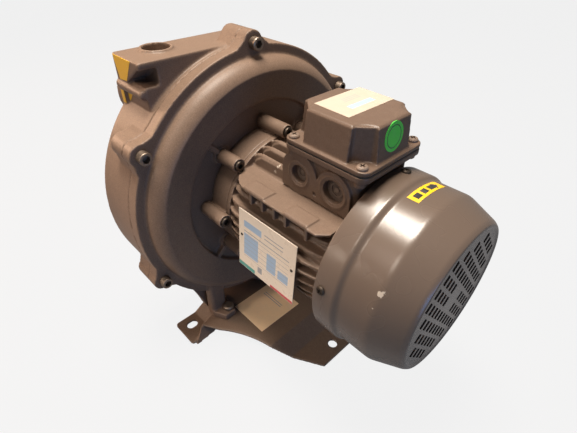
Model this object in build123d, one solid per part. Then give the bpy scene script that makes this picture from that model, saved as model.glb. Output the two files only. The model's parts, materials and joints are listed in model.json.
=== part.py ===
"""Side channel blower with an integral three-phase motor and a three-point sheet base.

Row frame: +X along the shaft towards the fan end, +Z up, millimetres. The origin is the floor point
midway between the two rear foot slots. Every sub-part is built about the shaft axis (the axis frame,
shaft on the X axis) and is lifted by AXIS_HEIGHT when it is written out.
"""
import os
from math import cos, degrees, radians, sin, sqrt

from build123d import *

# ---------------------------------------------------------------- driving dimensions
AXIS_HEIGHT = 175.0          # shaft axis above the floor

# housing
RIM_RADIUS = 145.0           # drum and flange outside
RIM_FRONT_X = 13.0
SEAM_X = 7.0                 # inner face of the front cover that the wheel runs against
JOINT_X = 0.0                # joint face between rear housing and front cover
RIM_BACK_X = -51.0
CHANNEL_RADIUS = 112.3       # mean radius of the side channel
CHANNEL_HALF = 16.3          # half width of the channel
CHANNEL_DEPTH = 16.0
CHAMBER_RADIUS = CHANNEL_RADIUS + CHANNEL_HALF
CHAMBER_FLOOR_X = -27.5      # rear face that the wheel runs against
CREST_RADIUS = 123.8
CREST_X = 28.6
FLANK_FOOT_RADIUS = 135.5
ANNULUS_RADIUS = 95.7
ANNULUS_X = 24.7
DISC_X = 17.0                # recessed disc that carries the motor
LUG_CIRCLE = 147.0
LUG_RADIUS = 11.0
LUG_ANGLES = (90, 148, 206, 270, 334, 32)
HOUSING_SCREW_RADIUS = 4.0   # M8

# port block and ports
BLOCK_LEFT_Y = -104.0
BLOCK_RIGHT_Y = 18.0
BLOCK_BACK_X = -51.0
BLOCK_FRONT_X = -5.0
PORT_RADIUS = 22.6           # G 1 1/2 tapping hole
PORT_COLLAR_RADIUS = 29.0
PORT_FACE_X = -68.0
PORT_THREAD_LENGTH = 20.0
PORT_DUCT_RADIUS = 20.0
PORT_CENTRES = ((-72.0, 103.0), (10.0, 109.0))
GAUGE_CENTRE = (-34.0, -71.0)
GAUGE_RADIUS = 12.3          # G 3/4 accessory port
GAUGE_DEPTH = 12.0
GAUGE_RING = (14.7, 2.2)      # outside radius and height of the raised ring
STRIPPER_ANGLE = 105.0
STRIPPER_SPAN = 16.0

# wheel
WHEEL_CLEARANCE = 0.5
BLADE_COUNT = 38
BLADE_THICKNESS = 3.0

# shaft and bearings
SHAFT_SEAT_RADIUS = 12.0     # wheel seat
FRONT_JOURNAL_RADIUS = 12.5  # 25 mm bearing
REAR_JOURNAL_RADIUS = 10.0   # 20 mm bearing
FAN_SEAT_RADIUS = 9.0
FAN_RING_X = (218.0, 219.2)  # groove of the circlip that holds the fan
FRONT_BEARING_X = (38.0, 53.0)
REAR_BEARING_X = (167.0, 181.0)
FRONT_BEARING_RADIUS = 26.0
REAR_BEARING_RADIUS = 23.5

# drive-end shield
BELL_RADIUS = 66.5
BELL_MOUTH_X = 41.0
BELL_WALL = 5.0
SHIELD_BOSS_CIRCLE = 74.0
SHIELD_BOSS_RADIUS = 7.0
SHIELD_BOSSES = ((88, 56.0), (178, 50.0), (268, 56.0), (358, 50.0))   # angle, end X
SHIELD_EAR_ANGLES = (43, 133, 223, 313)
SHIELD_EAR_END_X = 47.0

# motor
FRAME_START_X = BELL_MOUTH_X
FRAME_RING_END_X = 46.0      # plain ring before the fins start
FRAME_END_X = 172.0
FRAME_RADIUS = 59.5
STATOR_RADIUS = 55.5
STATOR_BORE_RADIUS = 34.0
AIR_GAP = 0.4
CORE_X = (76.0, 156.0)
WINDING_OVERHANG = 14.0
FIN_TIP_RADIUS = 69.0
FIN_THICKNESS = 2.8
FIN_PITCH = 11.0
TOP_FIN_Y = (-30.0, -19.5, -8.0, 8.0, 19.5, 30.0)
SHELF_Z = 48.0               # flat shelf beside the terminal box
SHELF_THICKNESS = 2.6
SHELF_HALF_WIDTH = 66.0
SHELF_PADS = ((70.0, 97.0), (122.0, 148.0))      # X spans of the raised pads
SHELF_WEB_X = (78.0, 93.0, 108.0, 122.0, 146.0)
TIE_LUG_ANGLES = (18, 162, 225, 315)

# nameplate
NAMEPLATE_SIZE = (75.0, 66.0)
NAMEPLATE_CENTRE = (106.0, -71.5, -4.5)
NAMEPLATE_TILT = 4.0
RIVET_RADIUS = 1.7

# terminal box
BOX_CENTRE_X = 134.5
BOX_FLANGE_SIZE = (84.0, 77.0)
BOX_BODY_SIZE = (73.0, 67.0)
BOX_BODY_CENTRE_X = 131.5
BOX_FOOT_Z = 50.0
BOX_FLANGE_Z = 92.0          # top of the base flange
BOX_WALL = 4.0
BOX_GASKET = 1.0
LID_FLANGE = 3.8
LID_TOP_Z = 125.0
LID_BODY_SIZE = (77.5, 71.0)
LID_TOP_INSET = 3.0
LID_SCREW_PITCH = (69.0, 65.0)
LID_SCOOP_RADIUS = 12.3
CABLE_ENTRIES = ((147.5, 10.25, 17.5), (110.0, 8.15, 20.0))   # centre X, hole radius, arch radius
CABLE_ENTRY_Z = 67.5
ENTRY_PANEL = 3.0            # how far the arched panel stands out

# fan cover
COVER_OPEN_X = 171.6
COVER_END_X = 249.6
COVER_BAND_RADIUS = 80.8
COVER_DRUM_RADIUS = 78.0
COVER_FACE_RADIUS = 65.0
COVER_SHEET = 1.5
COVER_SCREW_X = 179.0
COVER_SCREW_ANGLES = (80, 170, 260, 350)
GRILLE_PITCH = 11.44
GRILLE_OPENING = (6.8, 8.2)
GRILLE_COUNT = 10
GRILLE_LIMITS = (1.0, 4.85)  # nearest and farthest opening, in pitches from the centre
GRILLE_TURN = -48.0

# base plate
PLATE_THICKNESS = 3.0
PLATE_RISE = 12.0            # underside of the raised middle above the floor
SLOT_Y = 107.0
SLOT_WIDTH = 10.0
SLOT_LENGTH = 13.5
FRONT_HOLE_X = 140.0
FRONT_HOLE_RADIUS = 5.4
PLATE_TOP_Z = PLATE_RISE + PLATE_THICKNESS - AXIS_HEIGHT
LEG_PAD = 9.0                # height of the bolted leg pads


# ---------------------------------------------------------------- helpers
def turned(*points):
    """Solid of revolution about the shaft from a closed outline of (x, radius) points."""
    return revolve(make_face(Polyline(*points, close=True)), Axis.X, 360)


def ring(x_start, x_end, outer, inner=0.0):
    """Plain ring about the shaft axis."""
    return turned((x_start, inner), (x_end, inner), (x_end, outer), (x_start, outer))


def rod(x_start, x_end, radius, y=0.0, z=0.0):
    """Cylinder parallel to the shaft, centred on (y, z)."""
    return extrude(Plane.YZ.offset(x_start) * Pos(y, z) * Circle(radius), x_end - x_start)


def post(z_start, z_end, radius, x, y):
    """Upright cylinder."""
    return extrude(Plane.XY.offset(z_start) * Pos(x, y) * Circle(radius), z_end - z_start)


def block(x_span, y_span, z_span):
    """Box given by its spans along the three axes."""
    size = [high - low for low, high in (x_span, y_span, z_span)]
    centre = [(high + low) / 2 for low, high in (x_span, y_span, z_span)]
    return Pos(*centre) * Box(*size)


def slab(points, z_start, z_end):
    """Upright prism from a plan outline."""
    return extrude(Plane.XY.offset(z_start) * make_face(Polyline(*points, close=True)), z_end - z_start)


def about_shaft(angle):
    """Turn about the shaft; 0 is +Y and 90 is up."""
    return Rot(X=angle)


def polar(radius, angle):
    """(y, z) of a point on a circle about the shaft."""
    return radius * cos(radians(angle)), radius * sin(radians(angle))


def mirrored(shape):
    """The shape together with its mirror image across the XZ plane."""
    return shape + mirror(shape, Plane.XZ)


def facet(points, thickness, towards=Vector(0, 0, 1)):
    """Sheet facet: a flat polygon in space, thickened straight up unless told otherwise."""
    outline = Face(Wire.make_polygon([Vector(*point) for point in points], close=True))
    return Solid.extrude(outline, towards * thickness)


def socket_screw(thread_radius, head_radius, head_length, grip):
    """Socket-head screw along -X with its head from x = 0 forwards."""
    body = ring(-grip, 0, thread_radius) + ring(0, head_length, head_radius)
    socket = extrude(Plane.YZ.offset(head_length) * RegularPolygon(head_radius * 0.5, 6), -head_length * 0.55)
    return body - socket


def pan_screw(thread_radius, head_radius, head_height, grip):
    """Upright pan-head screw with a cross recess, seat at z = 0."""
    head = Pos(Z=head_height / 2) * Cylinder(head_radius, head_height)
    head = chamfer(head.edges().group_by(Axis.Z)[-1], head_height * 0.35)
    recess = Rectangle(head_radius * 1.1, head_radius * 0.26) + Rectangle(head_radius * 0.26, head_radius * 1.1)
    cross = extrude(Plane.XY.offset(head_height) * recess, -head_height * 0.5)
    return Pos(Z=-grip / 2) * Cylinder(thread_radius, grip) + (head - cross)


# ---------------------------------------------------------------- base plate
def base_plate():
    """Pressed sheet base: raised middle, two rear feet with slots and one front foot."""
    rise = PLATE_RISE
    foot_back, foot_outer, foot_toe = -14.0, -122.5, 28.6
    crease = (9.75, -94.3)
    apex = (18.3, -102.9)
    shoulder = (37.4, -91.8)
    waist = (70.0, -71.5)
    neck = (97.5, -62.9)
    front_crease = (119.6, -48.4)
    front_end = (153.4, -29.3)
    inner = (crease[0], -74.0)
    inner_back = (foot_back, -74.0)
    wall_foot = (25.7, -87.4)

    edge = ThreePointArc(shoulder, waist, neck)
    lines = Polyline(neck, (neck[0], 0), (foot_back, 0), inner_back, inner, apex, shoulder)
    middle = extrude(Plane.XY.offset(rise) * make_face(edge + lines), PLATE_THICKNESS)

    foot = slab([(foot_back, foot_outer), (foot_toe, foot_outer), crease, (foot_back, crease[1])],
                0, PLATE_THICKNESS)
    corners = foot.edges().filter_by(Axis.Z).group_by(Axis.Y)[0]
    foot = fillet(corners, 4.0)
    slot = SlotOverall(SLOT_LENGTH, SLOT_WIDTH, rotation=90)
    foot -= extrude(Pos(0, -SLOT_Y) * slot, PLATE_THICKNESS)

    toe_edge = (foot_toe, foot_outer + 4.0, 0)
    flap = facet([(*crease, 0), toe_edge, (*apex, rise)], PLATE_THICKNESS)
    slope = facet([(foot_back, crease[1], 0), (*crease, 0), (*inner, rise), (*inner_back, rise)],
                  PLATE_THICKNESS)
    gusset = facet([(*crease, 0), (*apex, rise), (*inner, rise)], PLATE_THICKNESS)
    wall = facet([(*apex, rise + 1), toe_edge, (*wall_foot, 0)], PLATE_THICKNESS, Vector(-1, 0, 0))

    ramp = facet([(*neck, rise), (*front_crease, 0), (front_crease[0], 0, 0), (neck[0], 0, rise)],
                 PLATE_THICKNESS)
    toe = slab([front_crease, front_end, (front_end[0], 0), (front_crease[0], 0)], 0, PLATE_THICKNESS)
    half = middle + foot + flap + slope + gusset + wall + ramp + toe
    plate = mirrored(half)
    plate -= post(0, PLATE_THICKNESS, FRONT_HOLE_RADIUS, FRONT_HOLE_X, 0)
    for x, y in leg_bolt_places():
        plate -= post(0, rise + PLATE_THICKNESS, 4.5, x, y)
    return Pos(Z=-AXIS_HEIGHT) * plate


def leg_bolt_places():
    """Plan positions of the four bolts that hold the housing legs to the plate, rear pair first."""
    return [(x, side * 67.0) for x in (-6.0, 25.0) for side in (-1, 1)]


def base_bolts():
    """Hex bolts: the rear pair comes up through the plate, the front pair stands on the leg pads."""
    under = PLATE_TOP_Z - PLATE_THICKNESS
    bolts = []
    for x, y in leg_bolt_places():
        head = extrude(Plane.XY.offset(under - 5.3) * Pos(x, y) * RegularPolygon(7.5, 6), 5.3)
        if x < 0:
            bolts.append(head + post(under, PLATE_TOP_Z + LEG_PAD, 4.0, x, y))
        else:
            cap = Pos(x, y, PLATE_TOP_Z + LEG_PAD + 2.5) * Cylinder(6.5, 5.0)
            cap = fillet(cap.edges().group_by(Axis.Z)[-1], 2.4)
            bolts.append(head + post(under, PLATE_TOP_Z + LEG_PAD + 1, 4.0, x, y) + cap)
    return bolts


# ---------------------------------------------------------------- housing
def rim_lugs(x_start, x_end, root_half_width):
    """Screw lugs round the rim, each with flat flanks that flare into the drum."""
    foot_radius = RIM_RADIUS - 7.0
    shoulder = LUG_CIRCLE + LUG_RADIUS * 0.35
    lug = Pos(LUG_CIRCLE, 0) * Circle(LUG_RADIUS)
    flare = make_face(Polyline(
        (foot_radius, -root_half_width), (shoulder, -LUG_RADIUS * 0.93),
        (shoulder, LUG_RADIUS * 0.93), (foot_radius, root_half_width), close=True))
    single = extrude(Plane.YZ.offset(x_start) * (lug + flare), x_end - x_start)
    return [about_shaft(angle) * single for angle in LUG_ANGLES]


def channel_section(plane_x, depth):
    """Half-moon section of the side channel, opening at plane_x."""
    low, high = CHANNEL_RADIUS - CHANNEL_HALF, CHANNEL_RADIUS + CHANNEL_HALF
    arc = ThreePointArc((plane_x, low), (plane_x + depth, CHANNEL_RADIUS), (plane_x, high))
    return make_face(arc + Line((plane_x, high), (plane_x, low)))


def side_channel(plane_x, depth):
    """Side channel round the shaft, closed at the stripper between the two ports."""
    start = STRIPPER_ANGLE + STRIPPER_SPAN / 2
    return about_shaft(start) * revolve(channel_section(plane_x, depth), Axis.X, 360 - STRIPPER_SPAN)


def front_cover():
    """Front half of the housing: flange, bulged channel cover and recessed motor disc."""
    outline = Polyline((CREST_X, CREST_RADIUS), (ANNULUS_X, ANNULUS_RADIUS), (DISC_X + 1, ANNULUS_RADIUS - 1),
                       (DISC_X, ANNULUS_RADIUS - 4), (DISC_X, 19.0), (SEAM_X, 19.0), (SEAM_X, CHAMBER_RADIUS),
                       (JOINT_X, CHAMBER_RADIUS), (JOINT_X, RIM_RADIUS), (RIM_FRONT_X, RIM_RADIUS),
                       (RIM_FRONT_X, FLANK_FOOT_RADIUS))
    flank = ThreePointArc((RIM_FRONT_X, FLANK_FOOT_RADIUS), (22.9, 131.6), (CREST_X, CREST_RADIUS))
    cover = revolve(make_face(outline + flank), Axis.X, 360)
    for lug in rim_lugs(JOINT_X, RIM_FRONT_X, 26.0):
        cover += lug
    rib_start = SHIELD_BOSS_CIRCLE + SHIELD_BOSS_RADIUS + 0.2
    for angle in SHIELD_EAR_ANGLES:
        rib = block((DISC_X - 1, ANNULUS_X - 1.5), (rib_start, ANNULUS_RADIUS + 1), (-2.5, 2.5))
        foot = rod(DISC_X - 1, DISC_X + 3, SHIELD_BOSS_RADIUS + 1.5, SHIELD_BOSS_CIRCLE)
        cover += about_shaft(angle) * (rib + foot)
    cover -= ring(DISC_X, RIM_FRONT_X + 30, BELL_RADIUS + 0.5)
    cover -= side_channel(SEAM_X, CHANNEL_DEPTH)
    cover += mirrored(front_leg())
    cover -= ring(JOINT_X - 1, SEAM_X, CHAMBER_RADIUS)
    for angle in LUG_ANGLES:
        cover -= rod(JOINT_X - 1, RIM_FRONT_X + 1, HOUSING_SCREW_RADIUS, *polar(LUG_CIRCLE, angle))
    for angle, _ in shield_screw_places():
        cover -= rod(DISC_X - 8, DISC_X + 5, 3.0, *polar(SHIELD_BOSS_CIRCLE, angle))
    cover -= ring(9.0, DISC_X + 1, 21.0)
    return cover


def front_leg():
    """Rounded column and bolted foot pad that stand the front cover on the plate."""
    column = block((SEAM_X, 18.0), (-85.0, -64.0), (PLATE_TOP_Z, -108.0))
    column = fillet(column.edges().filter_by(Axis.Z).group_by(Axis.X)[-1], 5.0)
    pad = slab([(SEAM_X, -85.0), (18.0, -85.0), (33.5, -77.0), (33.5, -63.0), (SEAM_X, -58.0)],
               PLATE_TOP_Z, PLATE_TOP_Z + LEG_PAD)
    return (column + pad) - post(PLATE_TOP_Z, PLATE_TOP_Z + LEG_PAD, 4.0, *leg_bolt_places()[2])


def port_block():
    """Square corner of the rear housing that holds both ports, with the side pocket and boss."""
    side_z = sqrt(RIM_RADIUS ** 2 - BLOCK_LEFT_Y ** 2) - 4
    section = make_face(Polyline((BLOCK_LEFT_Y, side_z), (BLOCK_LEFT_Y, RIM_RADIUS), (BLOCK_RIGHT_Y, RIM_RADIUS),
                                 (BLOCK_RIGHT_Y, 60.0), (-60.0, 60.0), close=True))
    section = fillet(section.vertices().sort_by_distance((BLOCK_LEFT_Y, RIM_RADIUS))[0], 1.5)
    body = extrude(Plane.YZ.offset(BLOCK_BACK_X) * section, BLOCK_FRONT_X - BLOCK_BACK_X)
    pocket = make_face(Polyline((-31.0, 124.5), (-9.0, 139.0), (BLOCK_FRONT_X + 1, 139.0),
                                (BLOCK_FRONT_X + 1, 124.5), close=True))
    body -= extrude(Plane.XZ.offset(-BLOCK_LEFT_Y + 1) * pocket, -17.0)
    step = make_face(Polyline((-31.0, 113.5), (-31.0, 124.5), (BLOCK_FRONT_X + 1, 124.5),
                              (BLOCK_FRONT_X + 1, 100.0), (-44.0, 100.0), (-44.0, 113.5), close=True))
    body -= extrude(Plane.XZ.offset(-BLOCK_LEFT_Y + 1) * step, -4.0)
    return body + rod(BLOCK_BACK_X, JOINT_X - 6, 4.2, BLOCK_LEFT_Y + 1.5, 118.5)


def rear_housing():
    """Rear half of the housing with the drum rim, port block, collars and legs."""
    chamber_face = CHAMBER_FLOOR_X - 8.0
    outline = Polyline(
        (chamber_face, 0), (chamber_face, 86.0), (RIM_BACK_X + 5, 97.0), (RIM_BACK_X + 2, 102.0),
        (RIM_BACK_X + 2, 124.0), (RIM_BACK_X + 8, 131.0), (-16.0, 134.0), (-16.0, 139.5),
        (RIM_BACK_X + 2, 140.5), (RIM_BACK_X, 142.0), (RIM_BACK_X, 144.0), (RIM_BACK_X + 1.5, RIM_RADIUS),
        (JOINT_X, RIM_RADIUS), (JOINT_X, CHAMBER_RADIUS), (CHAMBER_FLOOR_X, CHAMBER_RADIUS),
        (CHAMBER_FLOOR_X, 0), close=True)
    housing = revolve(make_face(outline), Axis.X, 360)
    for angle in range(0, 360, 30):
        web = block((RIM_BACK_X + 4, -12.0), (130.0, RIM_RADIUS - 2), (-2.0, 2.0))
        housing += about_shaft(angle) * web
    housing += port_block()
    for lug in rim_lugs(JOINT_X - 22.0, JOINT_X, 24.0):
        housing += lug
    for y, z in PORT_CENTRES:
        housing += rod(PORT_FACE_X, CHAMBER_FLOOR_X - 4, PORT_COLLAR_RADIUS, y, z)
    housing += mirrored(rear_leg())
    ring_radius, ring_height = GAUGE_RING
    housing += post(RIM_RADIUS, RIM_RADIUS + ring_height, ring_radius, *GAUGE_CENTRE)

    housing -= side_channel(CHAMBER_FLOOR_X, -CHANNEL_DEPTH)
    housing -= ring(CHAMBER_FLOOR_X, JOINT_X, CHAMBER_RADIUS)
    housing -= ring(CHAMBER_FLOOR_X - 4, CHAMBER_FLOOR_X, 28.0)
    for y, z in PORT_CENTRES:
        housing -= rod(PORT_FACE_X, PORT_FACE_X + PORT_THREAD_LENGTH, PORT_RADIUS, y, z)
        housing -= rod(PORT_FACE_X, CHAMBER_FLOOR_X, PORT_DUCT_RADIUS, y, z) & duct_envelope()
    housing -= post(RIM_RADIUS - GAUGE_DEPTH, RIM_RADIUS + 3, GAUGE_RADIUS, *GAUGE_CENTRE)
    for angle in LUG_ANGLES:
        housing -= rod(JOINT_X - 20.0, JOINT_X + 1, HOUSING_SCREW_RADIUS, *polar(LUG_CIRCLE, angle))
    return housing


def duct_envelope():
    """Limits the port ducts to the inside of the chamber wall."""
    return ring(PORT_FACE_X - 1, CHAMBER_FLOOR_X, CHAMBER_RADIUS + 8.0, 60.0)


def rear_leg():
    """Leg of the rear housing: a webbed foot with a bulged outer edge, standing on the plate."""
    outer = ThreePointArc((-112.0, -90.0), (-93.5, -125.0), (-82.0, PLATE_TOP_Z))
    inner = Polyline((-82.0, PLATE_TOP_Z), (-58.0, PLATE_TOP_Z), (-58.0, -124.0), (-70.0, -90.0), (-112.0, -90.0))
    leg = extrude(Plane.YZ.offset(-13.0) * make_face(outer + inner), JOINT_X + 13.0)
    leg -= ring(-14, JOINT_X + 1, CHAMBER_RADIUS + 2)
    return leg - post(PLATE_TOP_Z, PLATE_TOP_Z + LEG_PAD, 4.0, *leg_bolt_places()[0])


def housing_seal():
    """O-ring cord in the joint, squeezed into a groove outside the chamber."""
    section = Pos(JOINT_X - 1.3, CHAMBER_RADIUS + 4.0) * Circle(1.25)
    return revolve(section, Axis.X, 360)


def seal_groove():
    """Groove in the rear housing's joint face for the seal."""
    return ring(JOINT_X - 2.6, JOINT_X, CHAMBER_RADIUS + 5.6, CHAMBER_RADIUS + 2.4)


def housing_screws():
    """M8 socket-head screws that clamp the front cover to the rear housing."""
    screw = socket_screw(HOUSING_SCREW_RADIUS, 6.0, 8.0, RIM_FRONT_X - JOINT_X + 16.0)
    return [Pos(RIM_FRONT_X, *polar(LUG_CIRCLE, angle)) * screw for angle in LUG_ANGLES]


# ---------------------------------------------------------------- wheel
def impeller():
    """Side channel wheel: hub, web and a bladed rim with pockets open to both sides."""
    back = CHAMBER_FLOOR_X + WHEEL_CLEARANCE
    front = SEAM_X - WHEEL_CLEARANCE
    middle = (back + front) / 2
    rim_inner, rim_outer = CHANNEL_RADIUS - CHANNEL_HALF - 5.0, CHAMBER_RADIUS - 0.6
    web_half, wall_half = 3.5, 3.0
    hub_radius, hub_back, hub_front = 26.0, back + 8.0, front - 1.0
    wheel = turned(
        (hub_back, SHAFT_SEAT_RADIUS), (hub_front, SHAFT_SEAT_RADIUS), (hub_front, hub_radius),
        (middle + web_half, hub_radius + 8), (middle + web_half, rim_inner - 4), (front, rim_inner),
        (front, rim_outer), (back, rim_outer), (back, rim_inner), (middle - web_half, rim_inner - 4),
        (middle - web_half, hub_radius + 8), (hub_back, hub_radius))
    pocket = wheel_pocket(middle + wall_half, front, rim_outer)
    pockets = []
    for index in range(BLADE_COUNT):
        turn = about_shaft(index * 360 / BLADE_COUNT)
        pockets += [turn * pocket, turn * mirror(pocket, Plane.YZ.offset(middle))]
    wheel -= pockets
    for angle in range(0, 360, 90):
        wheel -= rod(back, front, 5.0, *polar(58.0, angle + 45))
    return wheel - shaft_key_blank()


def wheel_pocket(floor_x, mouth_x, rim_outer):
    """One blade pocket: a hollowed cell between two radial blades."""
    low = CHANNEL_RADIUS - CHANNEL_HALF
    section = make_face(Polyline((mouth_x + 1, low), (mouth_x, low), (floor_x + 2, low + 7), (floor_x, low + 14),
                                 (floor_x, rim_outer + 1), (mouth_x + 1, rim_outer + 1), close=True))
    blade_angle = degrees(BLADE_THICKNESS / CHANNEL_RADIUS)
    return revolve(section, Axis.X, 360 / BLADE_COUNT - blade_angle)


def shaft_key_blank():
    """Parallel key, 8 x 7, bedded in the shaft and the wheel hub."""
    return block((-17.0, 4.0), (-4.0, 4.0), (SHAFT_SEAT_RADIUS - 4.0, SHAFT_SEAT_RADIUS + 3.0))


def impeller_washer():
    """Thick washer that clamps the wheel on the shaft end."""
    hub_back = CHAMBER_FLOOR_X + WHEEL_CLEARANCE + 8.0
    return ring(hub_back - 3.0, hub_back, 17.0, 4.2)


def impeller_screw():
    """M8 hexagon screw in the shaft end."""
    seat = CHAMBER_FLOOR_X + WHEEL_CLEARANCE + 5.0
    head = extrude(Plane.YZ.offset(seat) * RegularPolygon(7.5, 6), -5.0)
    return head + ring(seat, seat + 24.0, 4.0)


# ---------------------------------------------------------------- shaft and bearings
def shaft():
    """Stepped motor shaft that also carries the wheel."""
    start = CHAMBER_FLOOR_X + WHEEL_CLEARANCE + 9.0
    body = turned(
        (start, 0), (start, SHAFT_SEAT_RADIUS), (SEAM_X - 1, SHAFT_SEAT_RADIUS), (SEAM_X, FRONT_JOURNAL_RADIUS),
        (FRONT_BEARING_X[1], FRONT_JOURNAL_RADIUS), (FRONT_BEARING_X[1], 15.0), (CORE_X[0], 15.0),
        (CORE_X[0], 14.0), (CORE_X[1], 14.0), (CORE_X[1], 12.5), (REAR_BEARING_X[0], 12.5),
        (REAR_BEARING_X[0], REAR_JOURNAL_RADIUS), (REAR_BEARING_X[1] + 2, REAR_JOURNAL_RADIUS),
        (REAR_BEARING_X[1] + 2, FAN_SEAT_RADIUS), (224.0, FAN_SEAT_RADIUS), (226.0, FAN_SEAT_RADIUS - 2), (226.0, 0))
    body -= ring(start - 1, start + 20.0, 4.0)
    body -= ring(*FAN_RING_X, FAN_SEAT_RADIUS + 1, FAN_SEAT_RADIUS - 1.0)
    return body - shaft_key_blank()


def bearing_rings(x_span, outer_radius, bore_radius):
    """Outer ring with seal plates, inner ring, and the grooves for the balls."""
    depth = outer_radius - bore_radius
    pitch = (outer_radius + bore_radius) / 2
    ball = depth * 0.30
    race = depth * 0.24
    middle = (x_span[0] + x_span[1]) / 2
    groove = revolve(Pos(middle, pitch) * Circle(ball), Axis.X, 360)
    outer = ring(*x_span, outer_radius, outer_radius - race) - groove
    for x_start in (x_span[0] + 0.4, x_span[1] - 1.4):
        outer += ring(x_start, x_start + 1.0, outer_radius - race + 0.2, bore_radius + race + 0.35)
    inner = ring(*x_span, bore_radius + race, bore_radius) - groove
    return outer, inner


def bearing_balls(x_span, outer_radius, bore_radius, count):
    """Ball complement joined by its cage, free between the rings."""
    depth = outer_radius - bore_radius
    pitch = (outer_radius + bore_radius) / 2
    middle = (x_span[0] + x_span[1]) / 2
    ball = Pos(middle, pitch, 0) * Sphere(depth * 0.30 - 0.12)
    cage = ring(middle - 2.0, middle + 2.0, pitch + 0.9, pitch - 0.9)
    for index in range(count):
        cage += about_shaft(index * 360 / count) * ball
    return cage


def shaft_seal():
    """Lip seal pressed into the front cover; its lip clears the shaft by a running gap."""
    lip = FRONT_JOURNAL_RADIUS + 0.06
    return turned((9.0, 21.0), (DISC_X - 1, 21.0), (DISC_X - 1, 19.0), (11.0, 19.0), (11.0, 15.0), (14.0, lip),
                  (10.0, lip), (9.0, 15.0))


# ---------------------------------------------------------------- motor
def drive_end_shield():
    """Bell that joins the motor to the housing, with the front bearing seat and long screw bosses."""
    seat_start, seat_end = FRONT_BEARING_X[0] - 2, FRONT_BEARING_X[1]
    inside = BELL_RADIUS - BELL_WALL
    outer = Polyline(
        (DISC_X, BELL_RADIUS), (BELL_MOUTH_X, BELL_RADIUS), (BELL_MOUTH_X, STATOR_RADIUS),
        (BELL_MOUTH_X + 6, STATOR_RADIUS), (BELL_MOUTH_X + 6, STATOR_RADIUS - 3), (BELL_MOUTH_X, STATOR_RADIUS - 4),
        (seat_end - 6, 33.0), (seat_end, 33.0), (seat_end, FRONT_BEARING_RADIUS),
        (seat_start, FRONT_BEARING_RADIUS), (seat_start, 33.0), (BELL_MOUTH_X - 6, STATOR_RADIUS - 5),
        (BELL_MOUTH_X - 10, inside), (DISC_X, inside), close=True)
    shield = revolve(make_face(outer), Axis.X, 360)
    for angle, end in shield_screw_places():
        shield += rod(DISC_X, end, SHIELD_BOSS_RADIUS, *polar(SHIELD_BOSS_CIRCLE, angle))
        web = block((DISC_X, BELL_MOUTH_X), (BELL_RADIUS - 2, SHIELD_BOSS_CIRCLE), (-3.5, 3.5))
        shield += about_shaft(angle) * web
    shield -= ring(BELL_MOUTH_X, 60.0, BELL_RADIUS + 1.2, STATOR_RADIUS)
    for angle in SHIELD_EAR_ANGLES:
        shield -= rod(DISC_X - 1, DISC_X + 3, SHIELD_BOSS_RADIUS + 1.5, *polar(SHIELD_BOSS_CIRCLE, angle))
    for angle, end in shield_screw_places():
        shield -= rod(DISC_X - 1, end + 1, 3.3, *polar(SHIELD_BOSS_CIRCLE, angle))
        shield -= rod(end - 3, end + 1, 5.3, *polar(SHIELD_BOSS_CIRCLE, angle))
    return shield - ring(seat_start - 1, seat_end + 1, FRONT_BEARING_RADIUS)


def shield_screw_places():
    """Angle and end of every screw boss of the bell."""
    return [*SHIELD_BOSSES, *((angle, SHIELD_EAR_END_X) for angle in SHIELD_EAR_ANGLES)]


def shield_screws():
    """M6 socket-head screws sunk into the long bosses, into the front cover."""
    screws = []
    for angle, end in shield_screw_places():
        screw = socket_screw(3.0, 5.0, 5.0, end - 3 - DISC_X + 7.5)
        screws.append(Pos(end - 3, *polar(SHIELD_BOSS_CIRCLE, angle)) * screw)
    return screws


def fin_envelope():
    """Volume that bounds the fin tips, drawn in at both ends of the frame."""
    tip = FIN_TIP_RADIUS
    start = FRAME_RING_END_X - 2
    return turned((start, 0), (start, 62.0), (start + 2, 65.0), (start + 6, tip - 1.5), (start + 14, tip),
                  (148.0, tip), (162.0, tip - 3), (FRAME_END_X - 1, tip - 8), (FRAME_END_X - 1, 0))


def motor_frame():
    """Finned frame: side fins stacked level, upright fins above and below, shelf and box platform."""
    half_fin = FIN_THICKNESS / 2
    fins = None
    for row in range(-4, 4):
        z = row * FIN_PITCH + 1.5
        plate = block((FRAME_START_X, FRAME_END_X), (-80, 80), (z - half_fin, z + half_fin))
        fins = plate if fins is None else fins + plate
    for column in range(-2, 3):
        y = column * FIN_PITCH * 1.3
        fins += block((FRAME_START_X, FRAME_END_X), (y - half_fin, y + half_fin), (-80, 0))
    for y in TOP_FIN_Y:
        fins += block((FRAME_START_X, BOX_BODY_CENTRE_X), (y - half_fin, y + half_fin), (0, 80))
    frame = fins & fin_envelope()
    frame += mirrored(shelf())
    frame += ring(FRAME_START_X, FRAME_RING_END_X, BELL_RADIUS)
    half_x = BOX_BODY_SIZE[0] / 2 + 1.5
    half_y = BOX_BODY_SIZE[1] / 2 + 0.5
    frame -= block((BOX_BODY_CENTRE_X - half_x, BOX_BODY_CENTRE_X + half_x), (-half_y, half_y),
                   (BOX_FOOT_Z, 90.0))
    frame += ring(FRAME_START_X, FRAME_END_X, FRAME_RADIUS)
    for angle in TIE_LUG_ANGLES:
        frame += rod(FRAME_START_X + 8, FRAME_END_X, 5.0, *polar(FRAME_RADIUS + 1, angle))
    for angle, end in shield_screw_places():
        frame -= rod(FRAME_START_X - 1, end + 4, SHIELD_BOSS_RADIUS + 0.3, *polar(SHIELD_BOSS_CIRCLE, angle))
    frame -= ring(FRAME_START_X - 1, FRAME_END_X + 1, STATOR_RADIUS)
    frame -= post(40.0, 60.0, 8.0, BOX_BODY_CENTRE_X, 0)
    return frame


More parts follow.
